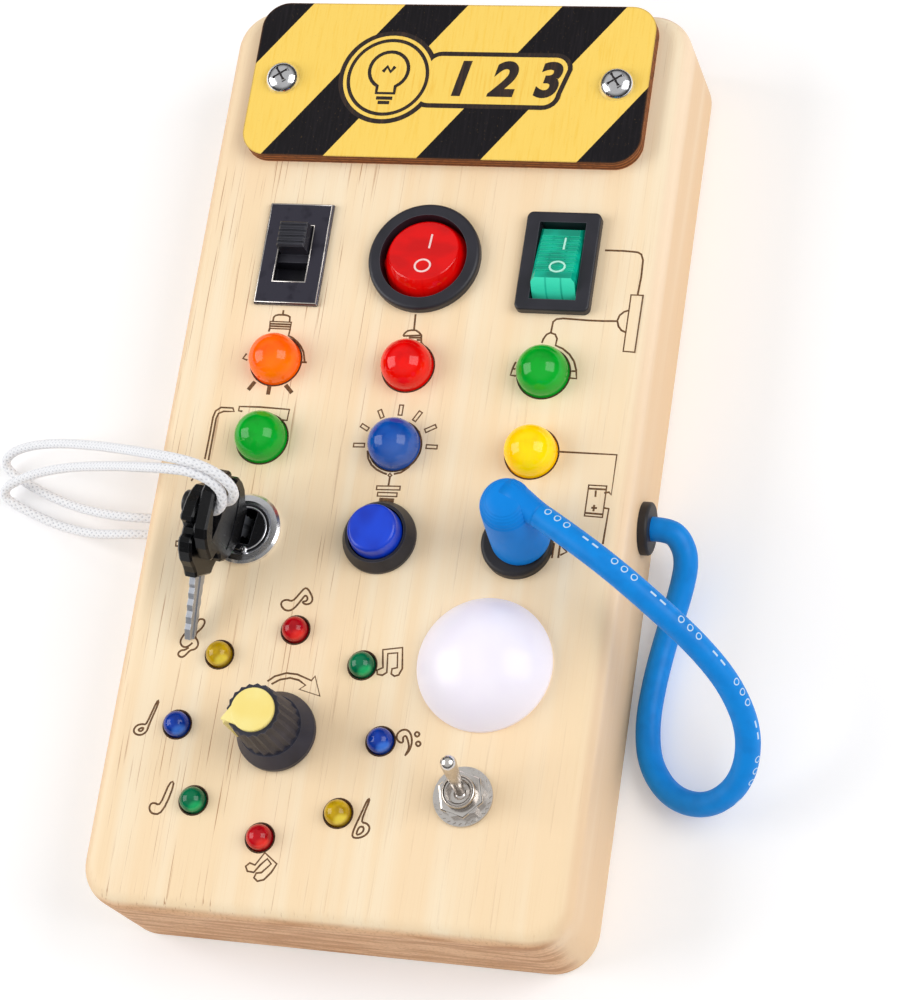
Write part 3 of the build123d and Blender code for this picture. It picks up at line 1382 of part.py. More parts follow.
with BuildPart() as toggle_lever:
    with Locations((toggle_x, toggle_y, toggle_pivot_z)):
        Sphere(toggle_ball_radius)
    with BuildSketch(toggle_pin_plane.offset(-toggle_pin_reach)):
        Circle(toggle_pin_radius)
    extrude(amount=2 * toggle_pin_reach)
    with BuildSketch(profile_plane(toggle_x, toggle_y)):
        with BuildLine():
            tip_z = toggle_pivot_z + toggle_lever_length
            tip_edge = (toggle_tip_radius, tip_z - toggle_tip_radius)
            tail_z = toggle_pivot_z - toggle_tail_length
            Polyline((0, tip_z), (0, tail_z), (toggle_tail_radius, tail_z),
                     (toggle_neck_radius, toggle_pivot_z + toggle_neck_start), tip_edge)
            TangentArc((0, tip_z), tip_edge, tangent=(1, 0))
        make_face()
    revolve(axis=upright_axis(toggle_x, toggle_y))
finish(toggle_lever.part.rotate(toggle_axis, -toggle_tilt), "toggle_lever")
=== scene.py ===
# %% [markdown]
# # A wooden busy board
#
# The board is a pine case with toys for small fingers on its face: switches, lamps, a lock with two
# keys, a push button, a plug, a dial and a dome lamp. The solids come from the packed frame at their
# real size and place. This lesson gives each of them its finish, and adds what solids leave out: the
# burnt drawings, the printed sign, the braid of the cords, the threads and the soft edges.
#
# Blender works in metres. Most sizes of the board are easier to read in millimetres, so they are
# written as millimetres and multiplied by MM. +X is to the right of the face, +Y towards the sign,
# and +Z out of the face.

# %% Load the frame
import json
import math

import bmesh
import bpy
from mathutils import Matrix, Vector
from mathutils.bvhtree import BVHTree


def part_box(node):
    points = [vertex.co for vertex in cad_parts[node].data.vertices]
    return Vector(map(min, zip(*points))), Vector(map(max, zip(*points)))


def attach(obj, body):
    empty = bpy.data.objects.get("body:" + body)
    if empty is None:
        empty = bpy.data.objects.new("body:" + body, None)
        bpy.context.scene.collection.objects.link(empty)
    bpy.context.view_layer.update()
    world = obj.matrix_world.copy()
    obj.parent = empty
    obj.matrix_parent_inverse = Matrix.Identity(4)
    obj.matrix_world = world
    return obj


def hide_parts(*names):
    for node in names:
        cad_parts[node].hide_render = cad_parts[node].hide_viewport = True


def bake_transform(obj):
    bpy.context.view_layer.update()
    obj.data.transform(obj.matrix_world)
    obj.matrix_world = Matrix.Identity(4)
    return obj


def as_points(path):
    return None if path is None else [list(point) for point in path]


MM = 0.001
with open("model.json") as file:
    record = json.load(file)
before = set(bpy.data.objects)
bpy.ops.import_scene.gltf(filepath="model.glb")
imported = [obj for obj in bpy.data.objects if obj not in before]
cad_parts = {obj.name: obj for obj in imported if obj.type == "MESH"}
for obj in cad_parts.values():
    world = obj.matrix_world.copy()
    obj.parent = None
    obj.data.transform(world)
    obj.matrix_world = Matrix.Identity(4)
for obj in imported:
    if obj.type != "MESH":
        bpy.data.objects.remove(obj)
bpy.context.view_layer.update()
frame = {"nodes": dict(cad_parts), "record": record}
face_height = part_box("wooden_case")[1][2]

# %% [markdown]
# The camera looks down on the board from the lower right with a long lens, which keeps the case's
# sides nearly parallel. Its three directions are written as unit vectors and squared up, because
# rounded numbers are never quite at right angles.

# %% Camera


def link(name, data):
    """A new object in the scene that holds the data."""
    held = bpy.data.objects.new(name, data)
    bpy.context.scene.collection.objects.link(held)
    return held


camera_data = bpy.data.cameras.new("camera")
camera_data.lens = 110.3
camera_data.clip_end = 10.0
camera = link("camera", camera_data)
bpy.context.scene.camera = camera
camera_forward = Vector((-0.28158, 0.31266, -0.90717)).normalized()
nearly_up = Vector((-0.05623, 0.93842, 0.34089)).normalized()
camera_right = camera_forward.cross(nearly_up).normalized()
camera_up = camera_right.cross(camera_forward)
camera_place = Vector((179.45, -194.01, 557.98)) * MM
camera_turn = Matrix((camera_right, camera_up, -camera_forward)).transposed().to_4x4()
camera.matrix_world = Matrix.Translation(camera_place) @ camera_turn
print("camera", round(camera_place.length, 3), "m from the middle of the case")

# %% [markdown]
# A cord is bought by the metre and lies where its stiffness and its weight let it. The line that it
# follows is drawn first, as a smooth NURBS spline that is drawn towards its control points without
# touching most of them. The tube round that line has far more rings than a plain sheath needs,
# because the braid of the white cords is moved into those rings. Two numbers are kept at each point
# of the tube: how far along the cord it is, and how far round, so that print and threads can follow
# the cord through its bends.

# %% Cords: the line and the tube


def route_line(name, points, steps):
    """A smooth NURBS spline through space, with no thickness of its own."""
    line = bpy.data.curves.new(name, "CURVE")
    line.dimensions = "3D"
    line.resolution_u = steps
    spline = line.splines.new("NURBS")
    spline.points.add(len(points) - 1)
    for place, point in zip(spline.points, points):
        place.co = (*[value * MM for value in point], 1.0)
    spline.order_u = 3
    spline.use_endpoint_u = True
    return line


def cord_tube(name, points, diameter, steps, sides, relief=None):
    """A tube along the line; relief(along, around) says how far a point stands out."""
    line = route_line(name + "_line", points, steps)
    drawn = link(name, line)
    bare = bpy.data.meshes.new_from_object(drawn)
    path = [point.co.copy() for point in bare.vertices]
    line.bevel_depth = diameter / 2
    line.bevel_resolution = sides // 2 - 2
    line.use_fill_caps = True
    bpy.context.view_layer.update()
    tube = bpy.data.meshes.new_from_object(drawn)
    bpy.data.objects.remove(drawn)
    piece = link(name, tube)
    reach = [0.0]
    for before, after in zip(path, path[1:]):
        reach.append(reach[-1] + (after - before).length)
    along = tube.attributes.new("along", "FLOAT", "POINT")
    around = tube.attributes.new("around", "FLOAT", "POINT")
    for index, point in enumerate(tube.vertices):
        row = min(index // sides, len(path) - 1)
        share = index % sides / sides
        along.data[index].value = reach[row] / MM
        around.data[index].value = share
        if relief and index < sides * len(path):
            point.co += (point.co - path[row]).normalized() * relief(reach[row] / MM, share) * MM
    for flat in tube.polygons:
        flat.use_smooth = True
    print(name, "rings", len(path), "length", round(reach[-1] / MM, 1), "mm, points", len(tube.vertices))
    return piece, path


# %% [markdown]
# The keys hang on two thin white cords, braided round a soft core. Ten bundles of thread, five wound
# each way, cross over and under each other, which leaves rows of small dimples. Two waves that wind
# opposite ways give the same relief when the higher one of them counts at each point.

# %% Cords: the braid
braid_lay = 1.5
braid_bundles = 5
braid_height = 0.09


def braid_relief(along, share):
    """The height of the bundle on top: two families of waves, wound left and right."""
    turn = 2 * math.pi * along / braid_lay
    wound = 2 * math.pi * share * braid_bundles
    return braid_height * max(math.cos(turn + wound), math.cos(turn - wound)) - braid_height / 2


print("braid", 2 * braid_bundles, "bundles,", braid_lay, "mm from one to the next")

# %% [markdown]
# Both cords leave the case side by side through two holes, droop to the table, turn back in a narrow
# bend and climb over the keys. The spare's cord lies outside the other one.

# %% Cords: the cords of the keys
spare_key_cord_points = [
    (-48, -13.6, 12), (-54.5, -13.6, 12), (-61.0, -12.7, 9.6), (-66.8, -11.2, 6.6), (-72.6, -9.5, 3.9),
    (-78.2, -7.5, 2.1), (-83.5, -5.3, 1.3), (-87.6, -3.4, 1.1), (-90.0, -2.0, 1.3), (-91.5, -0.7, 1.7),
    (-91.2, 0.5, 3.2), (-88.8, 1.6, 5.0), (-84.6, 1.8, 7.9), (-79.4, 1.2, 11.6), (-72.8, -0.1, 16.4),
    (-65.9, -2.1, 21.8), (-58.8, -4.4, 27.8), (-51.5, -7.1, 34.4), (-45.0, -9.7, 40.6),
    (-39.4, -11.9, 45.8), (-34.9, -13.6, 49.6), (-31.1, -14.7, 51.1), (-28.3, -15.3, 50.7),
    (-25.5, -16.2, 49.6), (-23.4, -17.4, 47.9), (-22.8, -18.4, 45.6), (-23.7, -19.1, 43.4),
    (-25.8, -19.2, 41.6), (-29.29, -19.03, 41.65), (-32.51, -18.64, 41.65),
]
key_cord_points = [
    (-48, -17.0, 12), (-54.5, -17.0, 12), (-60.2, -16.6, 9.6), (-65.9, -15.9, 6.6), (-71.6, -14.6, 3.9),
    (-77.1, -13.0, 2.1), (-82.3, -11.1, 1.3), (-86.3, -9.5, 1.1), (-88.8, -8.4, 1.2), (-90.4, -7.4, 1.7),
    (-90.0, -6.1, 3.2), (-87.7, -5.3, 4.9), (-83.9, -4.7, 7.3), (-79.6, -4.6, 10.4), (-73.7, -5.1, 14.8),
    (-67.0, -6.2, 20.0), (-60.2, -7.9, 25.8), (-53.2, -9.8, 32.0), (-46.2, -12.0, 38.5),
    (-40.4, -13.8, 43.8), (-35.7, -15.2, 47.6), (-31.7, -16.1, 49.7), (-28.8, -16.7, 49.3),
    (-26.2, -17.7, 48.1), (-24.9, -19.0, 45.6), (-26.1, -21.3, 42.7), (-29.53, -21.02, 41.25),
    (-32.76, -20.62, 41.25),
]
cord_thickness = 2.0
braid_core = (cord_thickness - braid_height) * MM
braid_steps, braid_sides = 44, 30
spare_cord_braid, spare_cord_path = cord_tube(
    "spare_cord_braid", spare_key_cord_points, braid_core, braid_steps, braid_sides, braid_relief)
key_cord_braid, key_cord_path = cord_tube(
    "key_cord_braid", key_cord_points, braid_core, braid_steps, braid_sides, braid_relief)
for cord_braid, replaced in ((spare_cord_braid, "spare_key_cord"), (key_cord_braid, "key_cord")):
    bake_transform(cord_braid)
    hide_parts(replaced)
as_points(spare_cord_path)
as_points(key_cord_path)

# %% [markdown]
# The plug's cable is a single wire in thick soft rubber. It is stiff enough to leave the case
# straight, lie down, and rise in one open loop to the plug. Its tube is smooth, and needs its
# numbers along and round only for the white print on it.

# %% Cords: the plug's cable
plug_cable_points = [
    (49.9, -9, 10.9), (53.2, -9, 10.9), (55.5, -10.5, 10.0), (56.9, -13.9, 8.2), (56.0, -19.0, 5.5),
    (53.8, -27.4, 3.0), (52.4, -36.8, 2.5), (52.0, -46.1, 2.5), (53.8, -54.2, 2.6), (59.4, -60.3, 3.6),
    (67.2, -61.7, 6.6), (73.4, -57.4, 11.0), (75.0, -50.0, 17.0), (72.0, -43.3, 23.8),
    (66.6, -38.0, 30.2), (58.8, -32.6, 36.4), (49.6, -26.4, 40.2), (39.62, -20.13, 40.5),
    (35.29, -17.64, 40.5),
]
cable_thickness = 4.8
cable_steps, cable_sides = 24, 32
cable_sheath, cable_path = cord_tube(
    "cable_sheath", plug_cable_points, cable_thickness * MM, cable_steps, cable_sides)
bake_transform(cable_sheath)
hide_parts("plug_cable")

# %% [markdown]
# Every finish is worked out by nodes, so that it has detail at any distance and needs no picture.
# Node trees are slow to read when each one is wired by hand. A small class stands for one output of
# one node: adding or multiplying two of them places a Math node. A second class holds a material and
# one method that places any node, sets it and wires its inputs.

# %% Nodes that reckon


def find_socket(sockets, key):
    """A socket by its number, its identifier or its name."""
    if isinstance(key, int):
        return sockets[key]
    return next((socket for socket in sockets if socket.identifier == key), None) or sockets[key]


class Value:
    """What one node gives out, which adds and multiplies like a number."""

    def __init__(self, finish, socket):
        self.finish, self.socket = finish, socket

    def reckon(self, operation, *values):
        return self.finish.node("Math", {"operation": operation}, dict(enumerate(values)))

    def __add__(self, other):
        return self.reckon("ADD", self, other)

    def __sub__(self, other):
        return self.reckon("SUBTRACT", self, other)

    def __mul__(self, other):
        return self.reckon("MULTIPLY", self, other)

    def __truediv__(self, other):
        return self.reckon("DIVIDE", self, other)

    def __rsub__(self, other):
        return self.reckon("SUBTRACT", other, self)

    def __rtruediv__(self, other):
        return self.reckon("DIVIDE", other, self)

    __radd__, __rmul__ = __add__, __mul__

    def lower(self, other):
        return self.reckon("MINIMUM", self, other)

    def higher(self, other):
        return self.reckon("MAXIMUM", self, other)

    def fraction(self):
        return self.reckon("FRACT", self)

    def size(self):
        return self.reckon("ABSOLUTE", self)

    def root(self):
        return self.reckon("SQRT", self)

    def cosine(self):
        return self.reckon("COSINE", self)

    def rise(self, low, high):
        """0 below low, 1 above high, and a smooth step between them; low may be the higher one."""
        return self.finish.node("MapRange", {"interpolation_type": "SMOOTHSTEP"},
                                {"Value": self, "From Min": low, "From Max": high})


print("a value knows", len([name for name in vars(Value) if not name.startswith("_")]), "named operations")

# %% [markdown]
# Colours are easiest to choose as they look on a screen. The nodes reckon in linear light, where
# twice the number is twice the light, so each colour is turned into that first. A finish then holds
# the material, its node tree, and the two things that most patterns start from: where a point lies
# on the object in millimetres, and which way the surface faces there.

# %% Finishes


def linear(red, green, blue):
    """A colour as it is seen, 0 to 255, in the linear light that the nodes reckon in."""
    shares = [value / 255 for value in (red, green, blue)]
    return [share / 12.92 if share <= 0.04045 else ((share + 0.055) / 1.055) ** 2.4 for share in shares]


class Finish:
    """A material, and the nodes that work out its colours."""

    def __init__(self, name):
        self.material = bpy.data.materials.new(name)
        self.material.use_nodes = True
        self.tree = self.material.node_tree
        self.tree.nodes.clear()
        self.place = self.node("VectorMath", {"operation": "SCALE"},
                               {0: self.node("TexCoord", output="Object"), "Scale": 1 / MM})
        self.facing = self.node("TexCoord", output="Normal")

    def node(self, kind, settings=None, inputs=None, output=0):
        """Place any node: its settings first, then its inputs, as numbers or as other values."""
        made = self.tree.nodes.new("ShaderNode" + kind)
        for name, value in (settings or {}).items():
            setattr(made, name, value)
        for key, value in (inputs or {}).items():
            socket = find_socket(made.inputs, key)
            if isinstance(value, Value):
                self.tree.links.new(value.socket, socket)
            elif socket.type == "RGBA":
                socket.default_value = [*value, 1.0]
            else:
                socket.default_value = value
        return Value(self, find_socket(made.outputs, output)) if made.outputs else None

    def axis(self, vector, name):
        """One of X, Y and Z of a vector."""
        return self.node("SeparateXYZ", inputs={0: vector}, output=name)

    def noise(self, size, detail=3, roughness=0.5, shift=(0, 0, 0)):
        """Cloudy values round one half, with patches of that size in mm along X, Y and Z."""
        stretched = self.node("Mapping", inputs={
            "Vector": self.place, "Scale": [1 / value for value in size], "Location": shift})
        return self.node("TexNoise", inputs={
            "Vector": stretched, "Scale": 1.0, "Detail": detail, "Roughness": roughness})

    def mix(self, share, first, second):
        """Between two colours."""
        return self.node("Mix", {"data_type": "RGBA"},
                         {"Factor_Float": share, "A_Color": first, "B_Color": second}, "Result_Color")

    def relief(self, height, deepest):
        """A surface that stands out by height, 0 to 1, times deepest in mm."""
        return self.node("Bump", inputs={"Height": height, "Distance": deepest * MM, "Strength": 1.0})

    def edge(self, reach):
        """1 on corners and edges, 0 on flat places, from normals averaged over reach in mm."""
        soft = self.node("Bevel", {"samples": 6}, {"Radius": reach * MM})
        plain = self.node("NewGeometry", output="Normal")
        turned = self.node("VectorMath", {"operation": "DOT_PRODUCT"}, {0: soft, 1: plain}, "Value")
        return turned.rise(0.985, 0.80)

    def surface(self, **inputs):
        """The shader that all of it goes into; Base_Color stands for Base Color, and so on."""
        named = {name.replace("_", " "): value for name, value in inputs.items()}
        shader = self.node("BsdfPrincipled", inputs=named)
        self.node("OutputMaterial", inputs={"Surface": shader})
        print(self.material.name, "has", len(self.tree.nodes), "nodes")


print("a mid grey in linear light is", [round(value, 3) for value in linear(128, 128, 128)])

# %% [markdown]
# The case is one block of pine, planed, sanded and left bare. Along the face the grain runs towards
# the sign: faint wide bands of summer wood, and fine reddish-brown streaks where the resin canals
# are cut lengthways, most of them on the left. The sides are cut across more of the rings and look a
# little darker, and the ends show end grain, which drinks in more of the workshop's dust.

# %% Finish: pine
pine = Finish("pine_bare")
pine_x = pine.axis(pine.place, "X")
to_side = pine.axis(pine.facing, "X").size().rise(0.35, 0.85)
to_end = pine.axis(pine.facing, "Y").size().rise(0.62, 0.96)
bend = pine.noise((30, 60, 30), detail=1)
rings = pine.noise((5.5, 260, 9), detail=2, shift=(3.1, 0, 0)) + bend * 0.25
fibre = pine.noise((0.28, 26, 0.5), detail=4, roughness=0.6)
canals = pine.noise((0.36, 26, 1.2), detail=2, roughness=0.6, shift=(0.4, 0.2, 0)).rise(0.62, 0.74)
left_part = pine_x.rise(6, -20) * 0.8 + 0.2
cloud = pine.noise((26, 44, 26), detail=2, shift=(1.7, 5.0, 0))
pale, warm = linear(255, 235, 202), linear(253, 222, 178)
pine_color = pine.mix(rings.rise(0.45, 0.78) * 0.75, pale, warm)
pine_color = pine.mix(cloud.rise(0.42, 0.72) * 0.5, pine_color, linear(254, 224, 184))
pine_color = pine.mix(fibre.rise(0.52, 0.75) * 0.3, pine_color, linear(240, 204, 154))
pine_color = pine.mix(canals * left_part * 0.8, pine_color, linear(180, 126, 84))
side_color = pine.mix(rings.rise(0.35, 0.65), linear(253, 224, 192), linear(240, 202, 160))
pine_color = pine.mix(to_side * 0.72, pine_color, side_color)
end_arcs = pine.noise((14, 14, 1.5), detail=3, shift=(0, 0, 0.4))
end_color = pine.mix(end_arcs.rise(0.38, 0.62), linear(238, 188, 142), linear(204, 144, 96))
end_pores = pine.noise((0.6, 0.6, 0.6), detail=2).rise(0.5, 0.7)
end_color = pine.mix(end_pores * 0.4, end_color, linear(176, 116, 70))
pine_color = pine.mix(to_end * 0.9, pine_color, end_color)
pine.surface(
    Base_Color=pine_color, Roughness=fibre * 0.2 + 0.42 + to_end * 0.1, Specular_IOR_Level=0.35,
    Normal=pine.relief(fibre * 0.6 + canals * -0.5 + rings * 0.3, 0.05))
finishes = {"pine": pine}

# %% [markdown]
# The back panel is thin plywood. Its face is a peeled layer with wide, wandering figure, and its
# edges show the dark glue between the layers.

# %% Finish: plywood
plywood = Finish("plywood_bare")
ply_figure = plywood.noise((7, 90, 7), detail=3, shift=(2, 0, 0)) + plywood.noise((18, 30, 18)) * 0.5
ply_layers = (plywood.axis(plywood.place, "Z") * 1.1).fraction().rise(0.25, 0.4)
ply_color = plywood.mix(ply_figure.rise(0.6, 0.95), linear(236, 205, 156), linear(205, 160, 106))
to_rim = 1 - plywood.axis(plywood.facing, "Z").size().rise(0.4, 0.8)
ply_color = plywood.mix(to_rim * ply_layers * 0.8, ply_color, linear(130, 84, 46))
plywood.surface(Base_Color=ply_color, Roughness=ply_figure * 0.15 + 0.5,
                Normal=plywood.relief(ply_figure, 0.06))
finishes["plywood"] = plywood

# %% [markdown]
# The sign is plywood too, printed with slanting black and yellow stripes and cut out by a laser. The
# ink is slightly speckled by the wood's grain, and thin at the rim. The cut edge is burnt brown, and
# a light brown halo runs round the print. Each stripe's place is reckoned as a sum of X and Y whose
# whole part counts the stripes.

# %% Finish: the printed sign
stripe_pitch, stripe_share, stripe_lean, stripe_start, sign_bottom = 33.0, 0.405, 0.737, -37.1, 59.5
stripes_before, edge_width = 4, 0.0025
sign = Finish("sign_print")
sign_x, sign_y = sign.axis(sign.place, "X"), sign.axis(sign.place, "Y")
ragged = sign.noise((0.5, 0.5, 0.5), detail=3) * 0.12 - 0.06
stripe_count = (sign_x - (sign_y - sign_bottom) * stripe_lean - stripe_start + ragged) / stripe_pitch
stripe = (stripe_count + stripes_before).fraction()
black_stripe = stripe.rise(0, edge_width) * stripe.rise(stripe_share + edge_width, stripe_share)
ink_grain = sign.noise((0.5, 9, 0.5), detail=4, roughness=0.65)
ink_speck = sign.noise((0.28, 0.5, 0.28), detail=2).rise(0.66, 0.78)
yellow_ink = sign.mix(ink_grain.rise(0.45, 0.75), linear(255, 216, 104), linear(251, 206, 84))
black_ink = sign.mix(ink_grain.rise(0.4, 0.8), linear(4, 0, 6), linear(26, 20, 26))
sign_color = sign.mix(black_stripe, yellow_ink, black_ink)
sign_color = sign.mix(ink_speck * 0.16, sign_color, linear(176, 140, 84))
to_sign_rim = 1 - sign.axis(sign.facing, "Z").rise(0.5, 0.85)
sign_layer = (sign.axis(sign.place, "Z") + 0.1).fraction().rise(0.3, 0.5)
cut_color = sign.mix(sign_layer, linear(172, 104, 54), linear(118, 66, 34))
cut_color = sign.mix(sign.noise((1.2, 1.2, 0.4)).rise(0.45, 0.7) * 0.7, cut_color, linear(84, 46, 26))
sign_color = sign.mix(sign.edge(0.7) * 0.55, sign_color, linear(120, 74, 34))
sign_color = sign.mix(to_sign_rim, sign_color, cut_color)
sign.surface(
    Base_Color=sign_color, Roughness=ink_grain * 0.2 + 0.42 + to_sign_rim * 0.2,
    Specular_IOR_Level=0.3, Normal=sign.relief(ink_grain * 0.6 + ink_speck * 0.4, 0.03))
finishes["sign_print"] = sign

# %% [markdown]
# Most of the bought parts are moulded plastic. A mould leaves a faint cloudiness where the plastic
# flowed, the mould's own fine texture, and short rough strokes where it got scuffed. Edges are
# painted a little paler, a painted highlight where they catch the light. One recipe serves all of
# these parts, with a pair of colours, a roughness and the texture's size and depth in millimetres.

# %% Finish: moulded plastics


def moulded(slot, color, shade, roughness, texture=(0.35, 0.006), coat=0.0, edge_highlight_color=None, shine=0.5,
            painted_glow_strength=0.0):
    """Moulded plastic: two close colours, a texture of some size and depth, and a painted highlight on the
    edges.

    Milky plastic passes light on inside itself; this is given as a faint painted glow, emission of the
    plastic's own colour.
    """
    plastic = Finish(slot + "_moulded")
    flow = plastic.noise((7, 9, 7), detail=2)
    fine = plastic.noise((texture[0],) * 3, detail=3)
    scuff = plastic.noise((2.6, 0.5, 2.6), detail=4).rise(0.60, 0.74)
    seen = plastic.mix(flow.rise(0.35, 0.7), linear(*color), linear(*shade))
    if edge_highlight_color:
        # Painted highlight: the edges are mixed towards a paler colour.
        seen = plastic.mix(plastic.edge(0.35) * 0.7, seen, linear(*edge_highlight_color))
    # Painted glow: the emission of the plastic's own colour.
    plastic.surface(
        Base_Color=seen, Roughness=fine * 0.1 + scuff * 0.08 + (roughness - 0.05), Coat_Weight=coat,
        Coat_Roughness=0.06, Specular_IOR_Level=shine, Emission_Color=seen, Emission_Strength=painted_glow_strength,
        Normal=plastic.relief(fine + scuff * -0.4, texture[1]))
    return plastic


# In each row the sixth value, where given, is the colour of the painted edge highlight, and the eighth the
# strength of the painted glow.
plastics = {
    "black_plastic": ((40, 39, 48), (30, 30, 38), 0.42, (0.22, 0.012), 0.0, (84, 84, 92)),
    "grommet_black": ((36, 32, 34), (24, 22, 25), 0.5, (0.5, 0.01), 0.0, (66, 60, 62)),
    "rotor_black": ((20, 20, 23), (8, 8, 10), 0.28, (0.6, 0.004), 0.0, (90, 92, 98), 0.4),
    "key_black": ((12, 12, 14), (4, 4, 6), 0.24, (0.5, 0.006), 0.0, (58, 60, 66), 0.3),
    "bead_black": ((34, 34, 38), (20, 20, 24), 0.35, (0.4, 0.006), 0.2),
    "knob_black": ((54, 54, 68), (38, 38, 50), 0.46, (0.3, 0.01), 0.0, (80, 80, 90), 0.4),
    "battery_case": ((44, 44, 47), (34, 34, 37), 0.5, (0.4, 0.015), 0.0, (78, 78, 82)),
    "nylon": ((226, 224, 212), (206, 204, 192), 0.45, (0.5, 0.006)),
    "cap_cream": ((255, 240, 158), (252, 228, 130), 0.42, (0.4, 0.008)),
    "cap_blue": ((8, 70, 222), (2, 50, 190), 0.3, (0.4, 0.006), 0.15, (110, 150, 240)),
    "plug_blue": ((0, 136, 230), (0, 128, 220), 0.42, (0.6, 0.006), 0.0, None, 0.2),
    "dome_white": ((250, 244, 254), (246, 240, 252), 0.3, (6, 0.0004), 0.0, None, 0.55, 0.08),
}
finishes.update({slot: moulded(slot, *look) for slot, look in plastics.items()})

# %% [markdown]
# The braid of the white cords is polyester, bright and a little silky. The dimples where the bundles
# cross lie in shade, so the same two waves that made the relief also paint the dimples grey, as
# painted shade. The braid also gives off a faint painted glow of its own colour.

# %% Finish: the braid
braid = Finish("white_cord_braid")
along = braid.node("Attribute", {"attribute_name": "along"}, output="Fac")
around = braid.node("Attribute", {"attribute_name": "around"}, output="Fac")
braid_turn, braid_wound = along * (2 * math.pi / braid_lay), around * (2 * math.pi * braid_bundles)
dimple_shade = (braid_turn + braid_wound).cosine().higher((braid_turn - braid_wound).cosine()).rise(0.1, -0.7)
silk = braid.noise((0.12, 0.12, 0.12), detail=3)
braid_color = braid.mix(silk.rise(0.4, 0.7) * 0.6, linear(250, 250, 252), linear(222, 224, 229))
# Painted shade in the dimples.
braid_color = braid.mix(dimple_shade * 0.5, braid_color, linear(170, 172, 180))
# The emission is a painted glow.
braid.surface(Base_Color=braid_color, Roughness=silk * 0.2 + 0.6, Specular_IOR_Level=0.3,
              Emission_Color=braid_color, Emission_Strength=0.02, Normal=braid.relief(silk, 0.02))
finishes["white_cord"] = braid

# %% [markdown]
# The cable is printed in white along one side, as such wires are. The marks here come in groups of
# seven places: three rings, a gap, two dashes and a gap. They are reckoned from how far along and
# how far round each point lies, so they bend with the cable.

# %% Finish: the printed cable
cable = Finish("plug_blue_printed")
cable_along = cable.node("Attribute", {"attribute_name": "along"}, output="Fac")
cable_around = cable.node("Attribute", {"attribute_name": "around"}, output="Fac")
mark_pitch, mark_side, mark_radius, mark_line, mark_squeeze = 2.2, 0.68, 0.66, 0.15, 1.5
dash_half_length, dash_half_width, dash_blur = 0.7, 0.26, 0.1
group_marks, rings_end, dashes_start, dashes_end, group_blur = 7, 3 / 7, 4 / 7, 6 / 7, 0.0005
mark_along = ((cable_along / mark_pitch).fraction() - 0.5) * mark_pitch
mark_round = (cable_around - mark_side) * (math.pi * cable_thickness)
mark_reach = (mark_along * mark_along * mark_squeeze + mark_round * mark_round).root()
ring_mark = (mark_reach - mark_radius).size().rise(mark_line, mark_line * 0.55)
group = (cable_along / (mark_pitch * group_marks)).fraction()
in_rings = group.rise(rings_end + group_blur, rings_end - group_blur)
in_dashes = (group.rise(dashes_start - group_blur, dashes_start + group_blur)
             * group.rise(dashes_end + group_blur, dashes_end - group_blur))
dash_mark = (mark_along.size().rise(dash_half_length, dash_half_length - dash_blur)
             * mark_round.size().rise(dash_half_width, dash_half_width - dash_blur))
printed = ring_mark * in_rings + dash_mark * in_dashes
rubber = cable.noise((3, 3, 3), detail=3)
cable_color = cable.mix(rubber.rise(0.35, 0.7), linear(0, 140, 230), linear(0, 132, 220))
cable_color = cable.mix(printed.lower(1.0) * 0.85, cable_color, linear(214, 236, 250))
cable.surface(Base_Color=cable_color, Roughness=rubber * 0.1 + 0.38, Specular_IOR_Level=0.25,
              Normal=cable.relief(rubber, 0.01))

# %% [markdown]
# A lamp's lens is dyed epoxy. Its upright sides are painted a deeper colour, as painted shade, and
# light that comes in at the upper left gathers at the lower right, painted as a glow on that side.
# The big lamps are milky, so the painted glow is wide and soft. The small ones are clear, so it is a
# narrow bright crescent, and their sides are painted deeper still. The lenses also give off a little
# light of their own colour, a painted glow. The nodes take all of it from the direction in which the
# surface faces, which needs no real refraction.

# %% Finish: lamp lenses
painted_glow_side = Vector((0.55, -0.72, 0.42)).normalized()


def lens(slot, color, deep, glow, clear):
    """Dyed epoxy: its colour, its deepest colour for the painted shade, and the colour of the painted glow
    on the side away from the light.
    """
    epoxy = Finish(slot + "_epoxy")
    toward = epoxy.node("VectorMath", {"operation": "DOT_PRODUCT"}, {0: epoxy.facing, 1: painted_glow_side}, "Value")
    flow = epoxy.noise((2.2, 2.2, 2.2), detail=2)
    seen = epoxy.mix(flow.rise(0.35, 0.7) * 0.6, linear(*color), linear(*deep))
    # Painted glow: the side that faces away from the light is made bright.
    painted_gathered_light = toward.rise(0.72, 0.97) if clear else toward.rise(0.35, 1.0)
    seen = epoxy.mix(painted_gathered_light * (0.85 if clear else 0.6), seen, linear(*glow))
    # Painted shade: the upright sides are made deeper.
    rim = epoxy.axis(epoxy.facing, "Z").rise(0.5, 0.05)
    seen = epoxy.mix(rim * (0.75 if clear else 0.35), seen, linear(*deep))
    # The emission is a painted glow.
    epoxy.surface(Base_Color=seen, Roughness=flow * 0.06 + 0.06, IOR=1.42, Emission_Color=seen,
                  Emission_Strength=0.06 if clear else 0.26, Normal=epoxy.relief(flow, 0.01))
    return epoxy


